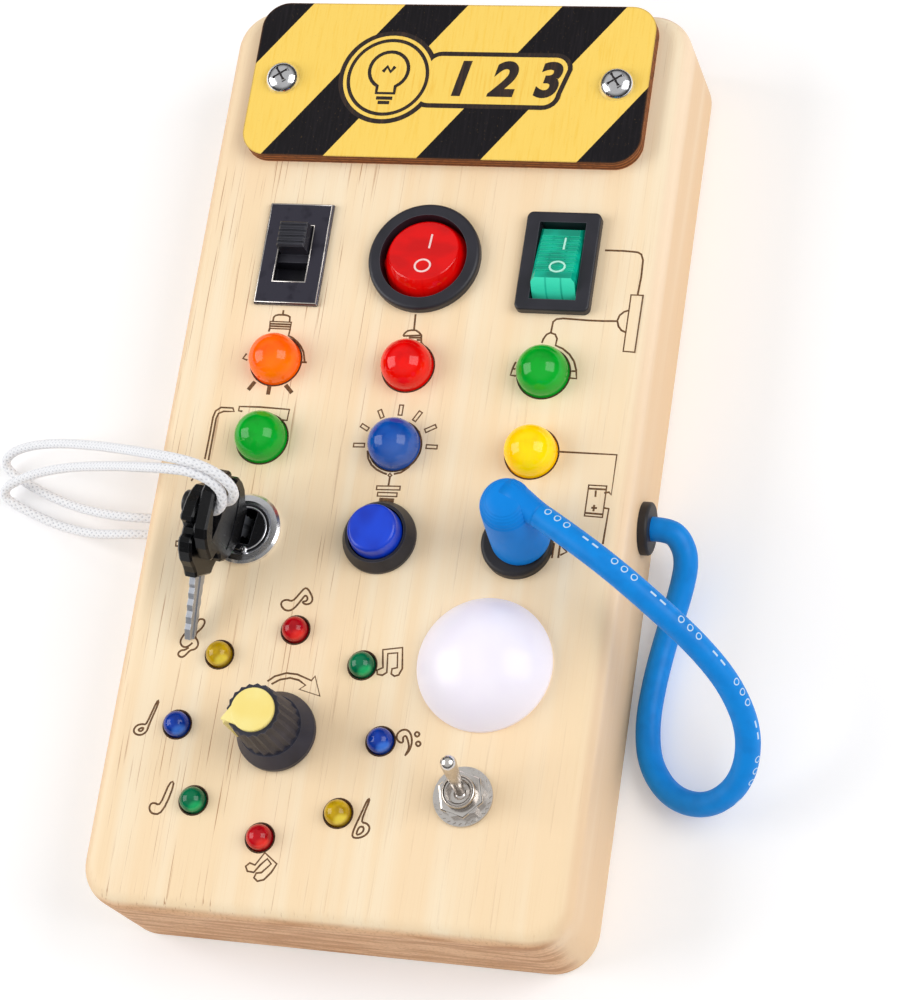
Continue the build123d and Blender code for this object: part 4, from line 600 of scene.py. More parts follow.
# The third colour in each row is the colour of the painted glow.
lenses = {
    "lens_orange": ((255, 98, 0), (240, 76, 0), (255, 128, 10), False),
    "lens_red": ((224, 2, 0), (190, 0, 0), (244, 24, 10), False),
    "lens_green": ((0, 156, 36), (0, 130, 28), (20, 172, 50), False),
    "lens_blue": ((8, 74, 160), (0, 56, 140), (70, 104, 176), False),
    "lens_yellow": ((255, 206, 0), (250, 184, 0), (255, 228, 10), False),
    "small_red": ((196, 10, 24), (130, 0, 14), (250, 60, 52), True),
    "small_green": ((0, 116, 74), (0, 76, 48), (40, 186, 110), True),
    "small_blue": ((14, 62, 170), (6, 34, 116), (70, 130, 235), True),
    "small_yellow": ((204, 166, 10), (140, 104, 0), (250, 226, 84), True),
}
finishes.update({slot: lens(slot, *look) for slot, look in lenses.items()})

# %% [markdown]
# The two rocker buttons are clear dyed plastic too, but their shapes are flat, so the light inside
# them shows as bands: bright where the moulded ribs and walls below catch it, dark between them.
# These bands on the front, the brighter front and the bright edges are all painted light, and the
# plastic gives off a faint painted glow.

# %% Finish: clear rockers
inner_rib_pitch, inner_rib_start = 3.1, 0.42


def clear_rocker(slot, color, deep, painted_highlight, front):
    """Clear dyed plastic: cloudy depth, a painted highlight on the edges, and a front painted brighter in
    bands, painted light from the ribs inside it.
    """
    clear = Finish(slot + "_clear")
    cloud_inside = clear.noise((5, 3, 5), detail=1, shift=(4, 1, 0))
    seen = clear.mix(cloud_inside.rise(0.35, 0.7), linear(*color), linear(*deep))
    inner_rib = (clear.axis(clear.place, "X") / inner_rib_pitch + inner_rib_start).fraction()
    rib_shade = inner_rib.rise(0.0, 0.1) * inner_rib.rise(1.0, 0.9)
    # Painted light: the front, which faces towards -Y, is made brighter, in bands between the ribs.
    lit_front = (clear.axis(clear.facing, "Y") * -1).rise(0.18, 0.45)
    seen = clear.mix(lit_front * front * (rib_shade * 0.7 + 0.3), seen, linear(*painted_highlight))
    # Painted highlight on the edges.
    seen = clear.mix(clear.edge(0.25) * 0.45, seen, linear(*painted_highlight))
    # The emission is a painted glow.
    clear.surface(Base_Color=seen, Roughness=cloud_inside * 0.1 + 0.06, IOR=1.45, Emission_Color=seen,
                  Emission_Strength=0.1, Normal=clear.relief(cloud_inside, 0.02))
    return clear


finishes["red_clear"] = clear_rocker("red_clear", (226, 0, 0), (206, 0, 2), (255, 30, 20), 0.25)
finishes["green_clear"] = clear_rocker("green_clear", (0, 176, 144), (0, 138, 112), (64, 230, 190), 0.9)

# %% [markdown]
# The metal parts are chrome, nickel, zinc or plain steel. What tells them apart is the colour, how
# sharp the reflections are, and the fine scratches: turned parts have none that can be seen, stamped
# plates are brushed one way. Dull patches lie here and there, some upright faces are painted dark, a
# painted reflection of dark surroundings, and the edges are painted bright, a painted highlight.

# %% Finish: metals


def metal(slot, color, dull, roughness, brushed=(0.5, 0.5, 0.5), depth=0.003, painted_highlight=(240, 240, 242),
          painted_dark_sides=0.0):
    """Metal: bright and dull colours, fine scratches that long, and a painted highlight on the edges.

    Dark sides says how dark the upright faces are painted, a painted reflection.
    """
    plain = Finish(slot + "_metal")
    scratch = plain.noise(brushed, detail=4, roughness=0.65)
    patch = plain.noise((3, 3, 3), detail=3)
    seen = plain.mix(patch.rise(0.5, 0.75) * 0.6 + scratch * 0.2, linear(*color), linear(*dull))
    # Painted reflection: the upright faces are made darker.
    upright = 1 - plain.axis(plain.facing, "Z").size().rise(0.15, 0.75)
    seen = plain.mix(upright * painted_dark_sides, seen, linear(58, 50, 48))
    # Painted highlight on the edges.
    seen = plain.mix(plain.edge(0.25) * 0.8, seen, linear(*painted_highlight))
    plain.surface(Base_Color=seen, Metallic=1.0, Roughness=scratch * 0.16 + (roughness - 0.08),
                  Normal=plain.relief(scratch, depth))
    return plain


even, along_part, along_strip = (0.3, 0.3, 0.3), (0.3, 4, 0.3), (0.3, 5, 0.3)
# Where given, the sixth value in a row is the colour of the painted edge highlight, and the seventh how dark
# the upright faces are painted.
metals = {
    "screw_chrome": ((250, 250, 252), (206, 206, 212), 0.16),
    "lock_chrome": ((250, 250, 252), (206, 206, 210), 0.22, even),
    "toggle_chrome": ((252, 246, 240), (222, 214, 206), 0.22, even, 0.003, (252, 250, 248), 0.4),
    "key_nickel": ((190, 194, 202), (138, 142, 152), 0.55, along_part),
    "plate_nickel": ((86, 84, 96), (60, 58, 68), 0.3, along_strip, 0.004, (250, 244, 236)),
    "pin_steel": ((206, 206, 210), (160, 160, 166), 0.26),
    "nut_steel": ((196, 196, 198), (146, 146, 150), 0.3),
    "zinc": ((178, 178, 186), (126, 126, 136), 0.36),
    "contact_steel": ((206, 202, 190), (150, 146, 134), 0.3, along_strip),
    "spring_steel": ((186, 186, 190), (120, 120, 126), 0.3),
    "pot_metal": ((186, 178, 158), (140, 132, 112), 0.34, along_part),
}
finishes.update({slot: metal(slot, *look) for slot, look in metals.items()})

# %% [markdown]
# Two finishes are left for what is inside: the circuit board, whose green lacquer lies over paler
# copper tracks, and the printed shrink film round the cells.

# %% Finish: inside
cell_length = 44.5
board_green = Finish("circuit_board_lacquer")
track = board_green.node("TexVoronoi", {"distance": "MANHATTAN", "feature": "F1"},
                         {"Vector": board_green.place, "Scale": 0.35}, "Distance")
lacquer = board_green.mix(track.fraction().rise(0.42, 0.5), linear(14, 92, 46), linear(34, 128, 70))
board_green.surface(Base_Color=lacquer, Roughness=track * 0.1 + 0.25, Coat_Weight=0.3,
                    Normal=board_green.relief(track, 0.02))
finishes["circuit_board"] = board_green
cell_film = Finish("cell_wrap_film")
band = (cell_film.axis(cell_film.place, "X") / cell_length + 0.5).fraction()
film_noise = cell_film.noise((2, 1, 1), detail=2)
film_color = cell_film.mix(band.rise(0.62, 0.63), linear(58, 122, 84), linear(214, 206, 150))
film_color = cell_film.mix(film_noise.rise(0.4, 0.7) * 0.3, film_color, linear(36, 84, 58))
cell_film.surface(Base_Color=film_color, Roughness=film_noise * 0.12 + 0.24, Coat_Weight=0.4,
                  Normal=cell_film.relief(film_noise, 0.01))
finishes["cell_wrap"] = cell_film

# %% [markdown]
# Each solid now takes the finish that the record names for it. Its own mesh stays as it is.

# %% Finishes on the solids
slot_of = {entry["node"]: entry["material_slot"] for entry in frame["record"]["subparts"]}


def give(piece, finish):
    """Put a finish in the piece's material slots, or in a first slot where it has none."""
    if not piece.material_slots:
        piece.data.materials.append(finish.material)
    for holder in piece.material_slots:
        holder.material = finish.material


for node, piece in frame["nodes"].items():
    give(piece, finishes[slot_of[node]])
for cord_braid in (spare_cord_braid, key_cord_braid):
    give(cord_braid, finishes["white_cord"])
give(cable_sheath, cable)
print("finishes", len(finishes), "on", len(frame["nodes"]), "solids")

# %% [markdown]
# The drawings on the face are burnt in by a laser: bulbs round some of the lamps, wires between a
# switch, a battery and a lamp, notes round the dial, and an arrow for turning. A burnt line is brown,
# less than half a millimetre wide, and darker where the laser slowed down. Each drawing is a set of
# lines on the face in millimetres. Short bars are given by their ends: the hollow ones are drawn
# round, the filled ones are a single thick line.

# %% Burnt drawings: the lines
drawings = {
    "bulb at the orange lamp": [
        [(-27.1, 27.1), (-27.1, 26.1)],
        [(-28.9, 24.6), (-28.9, 25.5), (-28.6, 25.9), (-27.9, 26.1), (-26.6, 26.1), (-26, 26),
         (-25.5, 25.7), (-25.4, 24.7)],
        [(-29.5, 24.6), (-25, 24.6), (-25, 23.1), (-29.3, 23.1), (-29.5, 24.6)],
        [(-29.4, 24.1), (-25, 24.1)],
        [(-29.4, 23.6), (-25, 23.6)],
        [(-29.3, 23.1), (-29.4, 22.4)],
        [(-25, 23.1), (-25.1, 21.7), (-24.2, 21.3), (-23.1, 20.5), (-22.2, 19.6), (-21.4, 18.4),
         (-21.1, 17.4), (-20.8, 16.3)],
        [(-21.9, 16.2), (-20.3, 16.2)],
        [(-33.2, 17.5), (-33.8, 16.4), (-32.8, 16.1)],
    ],
    "bulb at the red lamp": [
        [(0.4, 27.4), (0.6, 24.1)],
        [(-1.4, 22.7), (-1.2, 23.3), (-0.7, 23.8), (0.1, 24), (1, 24), (1.7, 23.6), (2.3, 23),
         (2.5, 21.5), (3.4, 20.5)],
        [(-1.4, 22.7), (2.3, 23)],
        [(-0.2, 22.4), (2.4, 22.5)],
        [(1.5, 22), (2.5, 22)],
    ],
    "pipe over the left green lamp": [
        [(-37.9, -5.2), (-37.8, -0.3), (-37.8, 3.7), (-37.5, 5), (-36.5, 5.8), (-34, 5.8),
         (-33.6, 5.1), (-35.8, 5), (-36.8, 4.5), (-37.1, 3.4), (-37.1, -0.5), (-37.1, -5.4)],
        [(-31.9, 5.2), (-32.7, 5.3), (-32.7, 6.2), (-28.4, 6.3), (-22.2, 6.1), (-22.3, 3.8),
         (-24.5, 3.9)],
        [(-39.9, -9.9), (-39.5, -9.2), (-39, -9.2)],
        [(-39.9, -22.5), (-40.7, -22.5), (-40.6, -23.5), (-39.8, -23.5)],
    ],
    "line under the blue lamp": [
        [(-4.8, -1.6), (-4.4, -3.2), (-3.5, -4.5), (-2.3, -5.4), (-0.9, -6), (-0.1, -6.2)],
        [(1.3, -6.1), (2.7, -5.7), (4, -4.6), (5.2, -2.6), (5.7, -0.5), (5.6, 1.5), (4.9, 3)],
        [(0.5, -6), (0.9, -6.4), (0.6, -6.8), (0.2, -6.4), (0.5, -6)],
        [(0.6, -6.8), (0.6, -8.5)],
    ],
    "lamp and switch circuit": [
        [(36.7, 42.5), (40.3, 42.5), (42.3, 42.4), (43.3, 42.3), (44, 41.9), (44.5, 40.7),
         (44.6, 37.1), (44.4, 33.3)],
        [(43.1, 33.3), (45.5, 33.3), (45.4, 21.4), (43.1, 21.5), (43.1, 33.3)],
        [(43.2, 30.1), (42.2, 29.7), (41.4, 28.9), (41.1, 27.8), (41.5, 26.6), (42.2, 25.8),
         (43.2, 25.4)],
        [(41.1, 27.7), (38.3, 27.6), (35.4, 27.6), (30.3, 27.8), (29, 27.6), (28.4, 27),
         (28.3, 24.8)],
        [(26.8, 22.5), (27, 23.4), (27.5, 24.3), (28.2, 24.7), (29.2, 24.4), (29.7, 23.5),
         (29.6, 22.1), (31.1, 21.5), (32.6, 20.4), (33.7, 19), (34.4, 17.2), (34.7, 15.4),
         (33.1, 15.5)],
        [(33.5, 16.9), (34.5, 17)],
        [(22.2, 18.3), (21.8, 17.2), (21.5, 15.5), (22.6, 15.4)],
        [(21.8, 16.9), (22.3, 16.8)],
    ],
    "battery circuit": [
        [(33, 0.3), (44.7, 0.3), (44.7, -7.8), (44.2, -7.3), (43.3, -7.5)],
        [(40.1, -6.1), (43.6, -6.1), (43.6, -12.4), (40.1, -12.3), (40.1, -6.1)],
        [(40.2, -6.8), (43.5, -6.8)],
        [(40.1, -11.7), (43.6, -11.8)],
        [(41.6, -7.1), (41.7, -8.4)],
        [(41.7, -10), (41.7, -11.3)],
        [(41.2, -10.6), (42.3, -10.6)],
        [(43.5, -10.5), (44.6, -10.6), (44.4, -17.7)],
        [(35, -18.1), (35, -21.1)],
        [(36.2, -18.4), (36.2, -21)],
        [(36.6, -18.6), (37.7, -19.7), (36.5, -20.4)],
    ],
    "single note": [
        [(-14.7, -33.2), (-15.9, -32.8), (-16.9, -33.2), (-17, -34), (-16.2, -34.9),
         (-15.2, -35.1), (-14.2, -34.6), (-13, -32.7), (-12.4, -31.6), (-11.8, -32.2),
         (-11.9, -32.9), (-12.8, -33), (-12.4, -33.5), (-11.3, -33.5), (-10.7, -32.7),
         (-11.1, -31.6), (-12.5, -29.9), (-13.5, -31.3), (-14.7, -33.2)],
    ],
    "treble clef": [
        [(-33.3, -41), (-33.3, -39.7), (-33.3, -38.4), (-32.8, -37.9), (-31.9, -38),
         (-31.7, -38.8), (-32.2, -39.9), (-33.1, -40.8), (-33.2, -41.7), (-32.5, -42.3),
         (-32.2, -43.2), (-32.7, -44.1), (-33.7, -44.3), (-34.3, -45.2), (-35, -45.9),
         (-35.8, -45.7), (-36.1, -45.1), (-35.5, -44.4), (-34.7, -44.4), (-34.1, -43.8)],
        [(-35.3, -41), (-36, -42), (-36, -43.2), (-35.1, -43.9), (-34.1, -43.6), (-33.5, -42.8)],
    ],
    "two joined notes": [
        [(5.2, -43.9), (4.8, -41.4), (8.6, -40.7), (9.2, -44.8), (8.7, -46.1), (7.9, -46.4),
         (7.2, -46), (7.2, -45), (8.2, -44.7), (7.8, -41.8), (5.9, -42.1), (6.3, -45.8),
         (5.5, -46.4), (4.5, -46.3), (4.3, -45.5), (5.4, -44.9), (5.2, -43.9)],
    ],
    "bass clef": [
        [(10.2, -58.5), (10.2, -57.5), (10.9, -56.7), (11.9, -56.5), (12.8, -57.1),
         (13.4, -58.7), (13.2, -60.4), (12.2, -61.9), (13, -60.2), (12.7, -59), (12, -57.6),
         (11.4, -58.1), (11.7, -59), (11.1, -59.2), (10.2, -58.5)],
        [(14, -56.7), (14.7, -57.2), (14.2, -57.9), (13.5, -57.3), (14, -56.7)],
        [(14.5, -58.5), (15.2, -59), (14.7, -59.7), (14, -59.1), (14.5, -58.5)],
    ],
    "flat sign": [
        [(6.5, -70.4), (7.1, -70.2), (5.8, -75), (7, -74.9), (7.9, -75.7), (7.6, -77),
         (6.3, -77.9), (4.6, -78), (4.8, -76.2), (5.6, -73.8), (6.5, -70.4)],
        [(5.7, -75.7), (6.7, -75.7), (6.7, -76.8), (5.3, -77.6), (5.7, -75.7)],
    ],
    "two slanting notes": [
        [(-11.7, -82.3), (-9, -84.2), (-9.8, -85.9), (-11, -87.4), (-12.2, -87.8), (-13, -87.2),
         (-12.7, -86.3), (-11.7, -86.1), (-10.1, -84.3), (-11, -83.4), (-12.2, -84.7),
         (-13.2, -86.2), (-14.5, -86.1), (-15, -85.2), (-14.3, -84.5), (-13.2, -84.8),
         (-11.7, -82.3)],
    ],
    "long note": [
        [(-38.5, -54.6), (-38, -54.9), (-39.3, -59.7), (-39.4, -61), (-40.4, -61.9),
         (-41.7, -61.8), (-42.3, -61), (-41.7, -59.9), (-40.4, -59.6), (-39.8, -59.8),
         (-38.5, -54.6)],
        [(-41.4, -60.9), (-40.7, -60.4), (-40.1, -60.4), (-40.6, -61.2), (-41.4, -60.9)],
    ],
    "wide note": [
        [(-33, -70.3), (-31.8, -70.4), (-33.3, -76.7), (-35.2, -77), (-36.1, -76.2),
         (-36.1, -75), (-35.2, -74.7), (-34, -75.3), (-33, -70.3)],
    ],
    "turning arrow": [
        [(-17, -49.3), (-15.7, -48.2), (-13.5, -47.4), (-11.3, -47.5), (-8.3, -48.5),
         (-7.7, -47.6), (-6.1, -51.4), (-10.4, -50.4), (-9.3, -49.5), (-10.8, -48.6),
         (-12.6, -48.3), (-14.6, -48.8), (-16.1, -49.8)],
    ],
}
hollow_bars = [
    ((-3.7, 6.9), (-2.9, 5.4)), ((0.6, 8.2), (0.6, 6.1)), ((4.7, 7), (3.6, 5.1)),
    ((-6.9, 3.6), (-5.4, 2.8)), ((-7.8, -0.6), (-5.6, -0.5)), ((6.2, 3.1), (8.2, 4.2)),
    ((6.9, -0.1), (9.1, -0.1)), ((-1.7, -9.1), (3, -8.9)), ((-1.3, -10.4), (2.6, -10.3)),
]
filled_bars = [
    ((-30.4, 11.6), (-31.5, 9.8)), ((-27.2, 10.9), (-27.2, 9)), ((-23.9, 11.2), (-22.3, 9.6)),
    ((-0.8, -11.5), (2.2, -11.5)),
]
hollow_bar_width, filled_bar_width = 0.75, 0.85
flowing = {"single note", "treble clef", "bass clef", "flat sign", "long note", "wide note"}


def ring(center, radius, count=32, squash=1.0):
    """A closed line round a centre."""
    turns = [2 * math.pi * step / count for step in range(count + 1)]
    return [(center[0] + radius * math.cos(turn), center[1] + radius * squash * math.sin(turn))
            for turn in turns]


def bar_outline(start, end, width):
    """The four corners round a short thick line, closed."""
    start, end = Vector(start), Vector(end)
    out = (end - start).normalized().orthogonal() * width / 2
    return [tuple(corner) for corner in (start - out, end - out, end + out, start + out, start - out)]


drawings["bars"] = [bar_outline(*bar, hollow_bar_width) for bar in hollow_bars]
print("drawings", len(drawings), "lines", sum(len(lines) for lines in drawings.values()))

# %% [markdown]
# A curve with a round bevel is a bead that follows its points, and Blender turns it into a mesh. The
# bead is pressed almost flat, which gives a line soft edges and just enough height to be seen. Ink,
# soot and paint are all two close colours that a fine grain mixes, so they share one recipe.

# %% Beads, pieces and grained colours


def curve_mesh(name, curve):
    """The mesh that Blender makes of a curve or of text."""
    drawn = link(name, curve)
    mesh = bpy.data.meshes.new_from_object(drawn)
    bpy.data.objects.remove(drawn)
    return mesh


def add_line(curve, line, flow=False):
    """Add a line of points in mm to a curve; it closes where its two ends are the same point."""
    spline = curve.splines.new("NURBS" if flow else "POLY")
    closed = line[0] == line[-1]
    points = line[:-1] if closed else line
    spline.points.add(len(points) - 1)
    for place, point in zip(spline.points, points):
        place.co = (*[value * MM for value in (*point, 0.0)[:3]], 1.0)
    spline.use_cyclic_u = closed
    if flow:
        spline.order_u = 3
        spline.use_endpoint_u = not closed


def drawn_mesh(name, lines, width, flow=False):
    """A round bead along lines of 2 or 3 numbers in mm, as one mesh."""
    curve = bpy.data.curves.new(name, "CURVE")
    curve.dimensions = "3D"
    curve.bevel_depth = width / 2 * MM
    curve.bevel_resolution = 2
    curve.resolution_u = 3
    curve.use_fill_caps = True
    for line in lines:
        add_line(curve, line, flow)
    return curve_mesh(name, curve)


def press_flat(mesh, share, level, aside=(0, 0)):
    """Press a mesh at height 0 to a share of its height, lift it to level and move it aside, in m."""
    shape = bmesh.new()
    shape.from_mesh(mesh)
    bmesh.ops.scale(shape, vec=(1, 1, share), verts=shape.verts)
    bmesh.ops.translate(shape, vec=(*aside, level), verts=shape.verts)
    shape.to_mesh(mesh)
    shape.free()
    return mesh


def add_piece(name, mesh, body, slot, finish, smooth=True):
    """A piece of its own: its mesh, the body that it rides on, its slot, which is not used, and its finish.
    """
    made = link(name, mesh)
    for flat in mesh.polygons:
        flat.use_smooth = smooth
    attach(made, body)
    give(made, finish)
    print(name, "rides on", body, "with", len(mesh.polygons), "faces")
    return made


def grained(name, color, shade, size, borders, roughness, depth=0.03, share=1.0, detail=3, harsh=0.5):
    """Two colours that a grain mixes: its size in mm, and the values between which they change."""
    finish = Finish(name)
    grain = finish.noise(size, detail, harsh)
    seen = finish.mix(grain.rise(*borders) * share, linear(*color), linear(*shade))
    finish.surface(Base_Color=seen, Roughness=grain * 0.2 + roughness, Normal=finish.relief(grain, depth))
    return finish


# %% [markdown]
# Each drawing is one piece, named for what it shows, and all of them are burnt into the same pine.

# %% Burnt drawings: the beads
burnt = grained("burnt_wood", (96, 64, 34), (128, 90, 50), (0.5, 0.5, 0.5), (0.4, 0.66), 0.6)
burn_width, burn_share, filled_share = 0.4, 0.2, 0.1
for title, lines in drawings.items():
    name = "burnt_" + title.replace(" ", "_")
    bead = press_flat(drawn_mesh(name, lines, burn_width, title in flowing), burn_share, face_height)
    add_piece(name, bead, "board", "pine", burnt)
thick_beads = drawn_mesh("burnt_filled_bars", filled_bars, filled_bar_width)
add_piece("burnt_filled_bars", press_flat(thick_beads, filled_share, face_height), "board", "pine", burnt)

# %% [markdown]
# The holes are cut by the same laser. A dark brown bead lies round each hole that a lamp comes
# through, painted shade in the gap round the lamp. The small lamps stand on a circle round the dial,
# an eighth of a turn apart.

# %% Painted shade round the holes
# Painted shade: a dark brown bead round each lamp's hole.
rim_shade_finish = grained("painted_rim_shade", (58, 36, 18), (104, 70, 36), (0.4, 0.4, 0.4), (0.4, 0.7), 0.65)


def middle(node):
    """The middle of a node's box on the face, in mm."""
    low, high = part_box(node)
    return ((low[0] + high[0]) / 2 / MM, (low[1] + high[1]) / 2 / MM)


big_lamps = ["lamp_orange", "lamp_red", "lamp_green_right", "lamp_green_left", "lamp_blue", "lamp_yellow"]
big_hole_radius, small_hole_radius, small_lamp_circle = 5.3, 2.85, 20.4
circle_x, circle_y = -13.15, -59.2
rim_width, rim_share = 0.32, 0.15
rims = [ring(middle(lamp), big_hole_radius, 48) for lamp in big_lamps]
for small_lamp in range(8):
    turn = math.radians(45 * small_lamp)
    lamp_x = circle_x + small_lamp_circle * math.sin(turn)
    rims.append(ring((lamp_x, circle_y + small_lamp_circle * math.cos(turn)), small_hole_radius))
rim_mesh = press_flat(drawn_mesh("hole_rim_shades", rims, rim_width), rim_share, face_height)
add_piece("hole_rim_shades", rim_mesh, "board", "pine", rim_shade_finish)

# %% [markdown]
# In the middle of the sign is a plaque, printed over the stripes: a disc with a bulb on it, and a
# band with the numbers 1, 2 and 3. Each has a dark outline round a yellow field. A flat closed curve
# fills itself, so both are a dark curve with a smaller yellow one a few hundredths of a millimetre
# higher, like layers of ink. The disc lies a little higher than the band where they overlap.

# %% Sign: the plaque
sign_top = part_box("sign_plate")[1][2]
disc_middle, disc_radius = (-12.6, 77.6), 9.4
band_left, band_right, band_low, band_high, band_slant = -6.0, 23.0, 72.0, 82.6, 1.6
band_radius, corner_steps, outline_width = 2.6, 6, 1.0
ink_step, disc_lift = 0.03, 0.4


def filled_mesh(name, outline, level, thickness):
    """A closed outline in mm, filled, with its level and thickness in m."""
    curve = bpy.data.curves.new(name, "CURVE")
    curve.dimensions = "2D"
    curve.fill_mode = "BOTH"
    curve.extrude = thickness / 2
    add_line(curve, outline)
    return press_flat(curve_mesh(name, curve), 1, level)


def rounded_band(grow):
    """The band's outline with round corners, larger by grow; its ends lean like the numbers."""
    radius = band_radius + grow
    corners = ((band_left + radius - grow, band_low + radius - grow, math.pi),
               (band_right - radius + grow, band_low + radius - grow, 1.5 * math.pi),
               (band_right + band_slant - radius + grow, band_high - radius + grow, 0),
               (band_left + band_slant + radius - grow, band_high - radius + grow, 0.5 * math.pi))
    outline = []
    for corner_x, corner_y, first in corners:
        for step in range(corner_steps + 1):
            turn = first + math.pi / 2 * step / corner_steps
            outline.append((corner_x + radius * math.cos(turn), corner_y + radius * math.sin(turn)))
    return outline + outline[:1]


print("sign top at", round(sign_top / MM, 2), "mm")

# %% [markdown]
# The inks are dark brown and yellow, with the wood's grain showing through. The outline is the dark
# layer, where it reaches past the yellow one.

# %% Sign: the plaque's layers
dark_ink = grained("sign_dark_ink", (30, 18, 14), (66, 42, 26), (0.5, 6, 0.5), (0.4, 0.8), 0.42, detail=4)
yellow_field = grained("sign_yellow_field", (255, 216, 100), (248, 198, 72), (0.5, 9, 0.5), (0.45, 0.75),
                       0.42, detail=4, harsh=0.65)
for grow, ink, layer in ((outline_width, dark_ink, 1), (0.0, yellow_field, 2)):
    disc_outline = ring(disc_middle, disc_radius + grow, 64)
    for part, lift, outline in (("band", 0.0, rounded_band(grow)), ("disc", disc_lift, disc_outline)):
        level = sign_top + (layer + lift) * ink_step * MM
        layer_mesh = filled_mesh(f"plaque_{part}_{layer}", outline, level, ink_step * MM)
        add_piece(f"plaque_{part}_{layer}", layer_mesh, "board", "sign_print", ink)

# %% [markdown]
# The bulb is drawn in dark ink: most of a circle for its glass, straight lines down to its neck, two
# shorter lines for the screw cap, and a zigzag for the filament. A thin ring runs inside the disc's
# rim. The numbers are text, leant over and thickened a little, and made a mesh like the rest.

# %% Sign: the bulb and the numbers
top_layer, bulb_rise, glass_radius, glass_steps, neck_half, neck_drop = 3.2, 1.6, 4.1, 24, 1.9, 5.2
cap_lines = ((1.7, 1.1), (1.2, 2.1))
filament = ((-1.2, -0.4), (-0.4, 0.8), (0.4, -0.4), (1.2, 0.8))
inner_ring_inset, ink_width, ink_share = 1.1, 0.75, 0.1
ink_top = sign_top + top_layer * ink_step * MM
bulb_x, bulb_y = disc_middle[0], disc_middle[1] + bulb_rise
neck_y = bulb_y - neck_drop
glass_turn = math.asin(neck_half / glass_radius)
glass_span = 2 * math.pi - 2 * glass_turn
glass = []
for step in range(glass_steps + 1):
    turn = math.pi + glass_turn + glass_span * step / glass_steps
    glass.append((bulb_x + glass_radius * math.sin(turn), bulb_y + glass_radius * math.cos(turn)))
neck_left, neck_right = (bulb_x - neck_half, neck_y), (bulb_x + neck_half, neck_y)
bulb_lines = [[neck_left, *glass, neck_right, neck_left]]
for half, drop in cap_lines:
    bulb_lines.append([(bulb_x - half, neck_y - drop), (bulb_x + half, neck_y - drop)])
bulb_lines.append([(bulb_x + right, bulb_y + up) for right, up in filament])
bulb_lines.append(ring(disc_middle, disc_radius - inner_ring_inset, 64))
bulb_mesh = press_flat(drawn_mesh("plaque_bulb", bulb_lines, ink_width), ink_share, ink_top)
add_piece("plaque_bulb", bulb_mesh, "board", "sign_print", dark_ink)
numbers_middle = Vector((11.4, 77.2)) * MM
numbers = bpy.data.curves.new("plaque_numbers", "FONT")
numbers.body = "1 2 3"
numbers.size = 10.4 * MM
numbers.offset = 0.4 * MM
numbers.shear = 0.2
numbers.space_character = 1.1
numbers.extrude = ink_step / 2 * MM
numbers.align_x, numbers.align_y = "CENTER", "CENTER"
numbers_mesh = press_flat(curve_mesh("plaque_numbers", numbers), 1, ink_top, numbers_middle)
add_piece("plaque_numbers", numbers_mesh, "board", "sign_print", dark_ink)

# %% [markdown]
# The two rockers carry the usual marks, a bar for on and a ring for off, moulded in and filled with
# a pale paint that the plastic tints. The marks follow the button's curved top. Each point of a mark
# is dropped straight down onto the button, onto the highest spot within half a rib of it, and the
# bead along the points is sunk until only a narrow strip of it shows.

# %% Rockers: the marks
rib_reach, drop_height = 0.45, 80


def dropped(lines, node, sunk):
    """The lines lowered onto a node's ribs from above, and then by sunk, all in mm."""
    surface = bmesh.new()
    surface.from_mesh(frame["nodes"][node].data)
    tree = BVHTree.FromBMesh(surface)
    surface.free()
    down = Vector((0, 0, -1))
    sides = (-rib_reach, -rib_reach / 2, 0, rib_reach / 2, rib_reach)
    landed = []
    for line in lines:
        lowered = []
        for x, y in line:
            hits = [tree.ray_cast(Vector((x, y + side, drop_height)) * MM, down)[0] for side in sides]
            lowered.append((x, y, max(hit.z / MM for hit in hits) - sunk))
        landed.append(lowered)
    return landed


def along_line(start, end, count):
    """Points at even steps from start to end."""
    return [tuple(Vector(start).lerp(Vector(end), step / count)) for step in range(count + 1)]


mark_wear = ((0.5, 0.5, 0.5), (0.45, 0.7), 0.3, 0.02, 0.5)
white_mark = grained("white_mark", (255, 226, 222), (250, 190, 184), *mark_wear)
mint_mark = grained("mint_mark", (196, 250, 232), (140, 226, 200), *mark_wear)
mark_bead, mark_shown = 0.46, 0.08
for name, node, body, slot, finish, lines in (
        ("round_rocker_marks", "round_rocker_button", "round_rocker", "red_clear", white_mark,
         [along_line((1.69, 43.9), (1.69, 40.6), 6), ring((1.2, 36.5), 1.55, 28, 0.92)]),
        ("square_rocker_marks", "square_rocker_button", "square_rocker", "green_clear", mint_mark,
         [along_line((29.05, 43.9), (29.05, 41.2), 6), ring((28.55, 37.2), 1.5, 28, 0.8)])):
    mark_mesh = drawn_mesh(name, dropped(lines, node, mark_bead / 2 - mark_shown), mark_bead)
    add_piece(name, mark_mesh, body, slot, finish)

# %% [markdown]
# Round parts are turned on a lathe, and a mesh can be too: a profile of radius and height is spun
# round an axis. The doubles where the profile touches the axis are merged, and then the normals are
# recalculated, because a spin can turn a shape inside out.

# %% Turned parts
merge_reach, full_turn_steps = 1e-4, 64


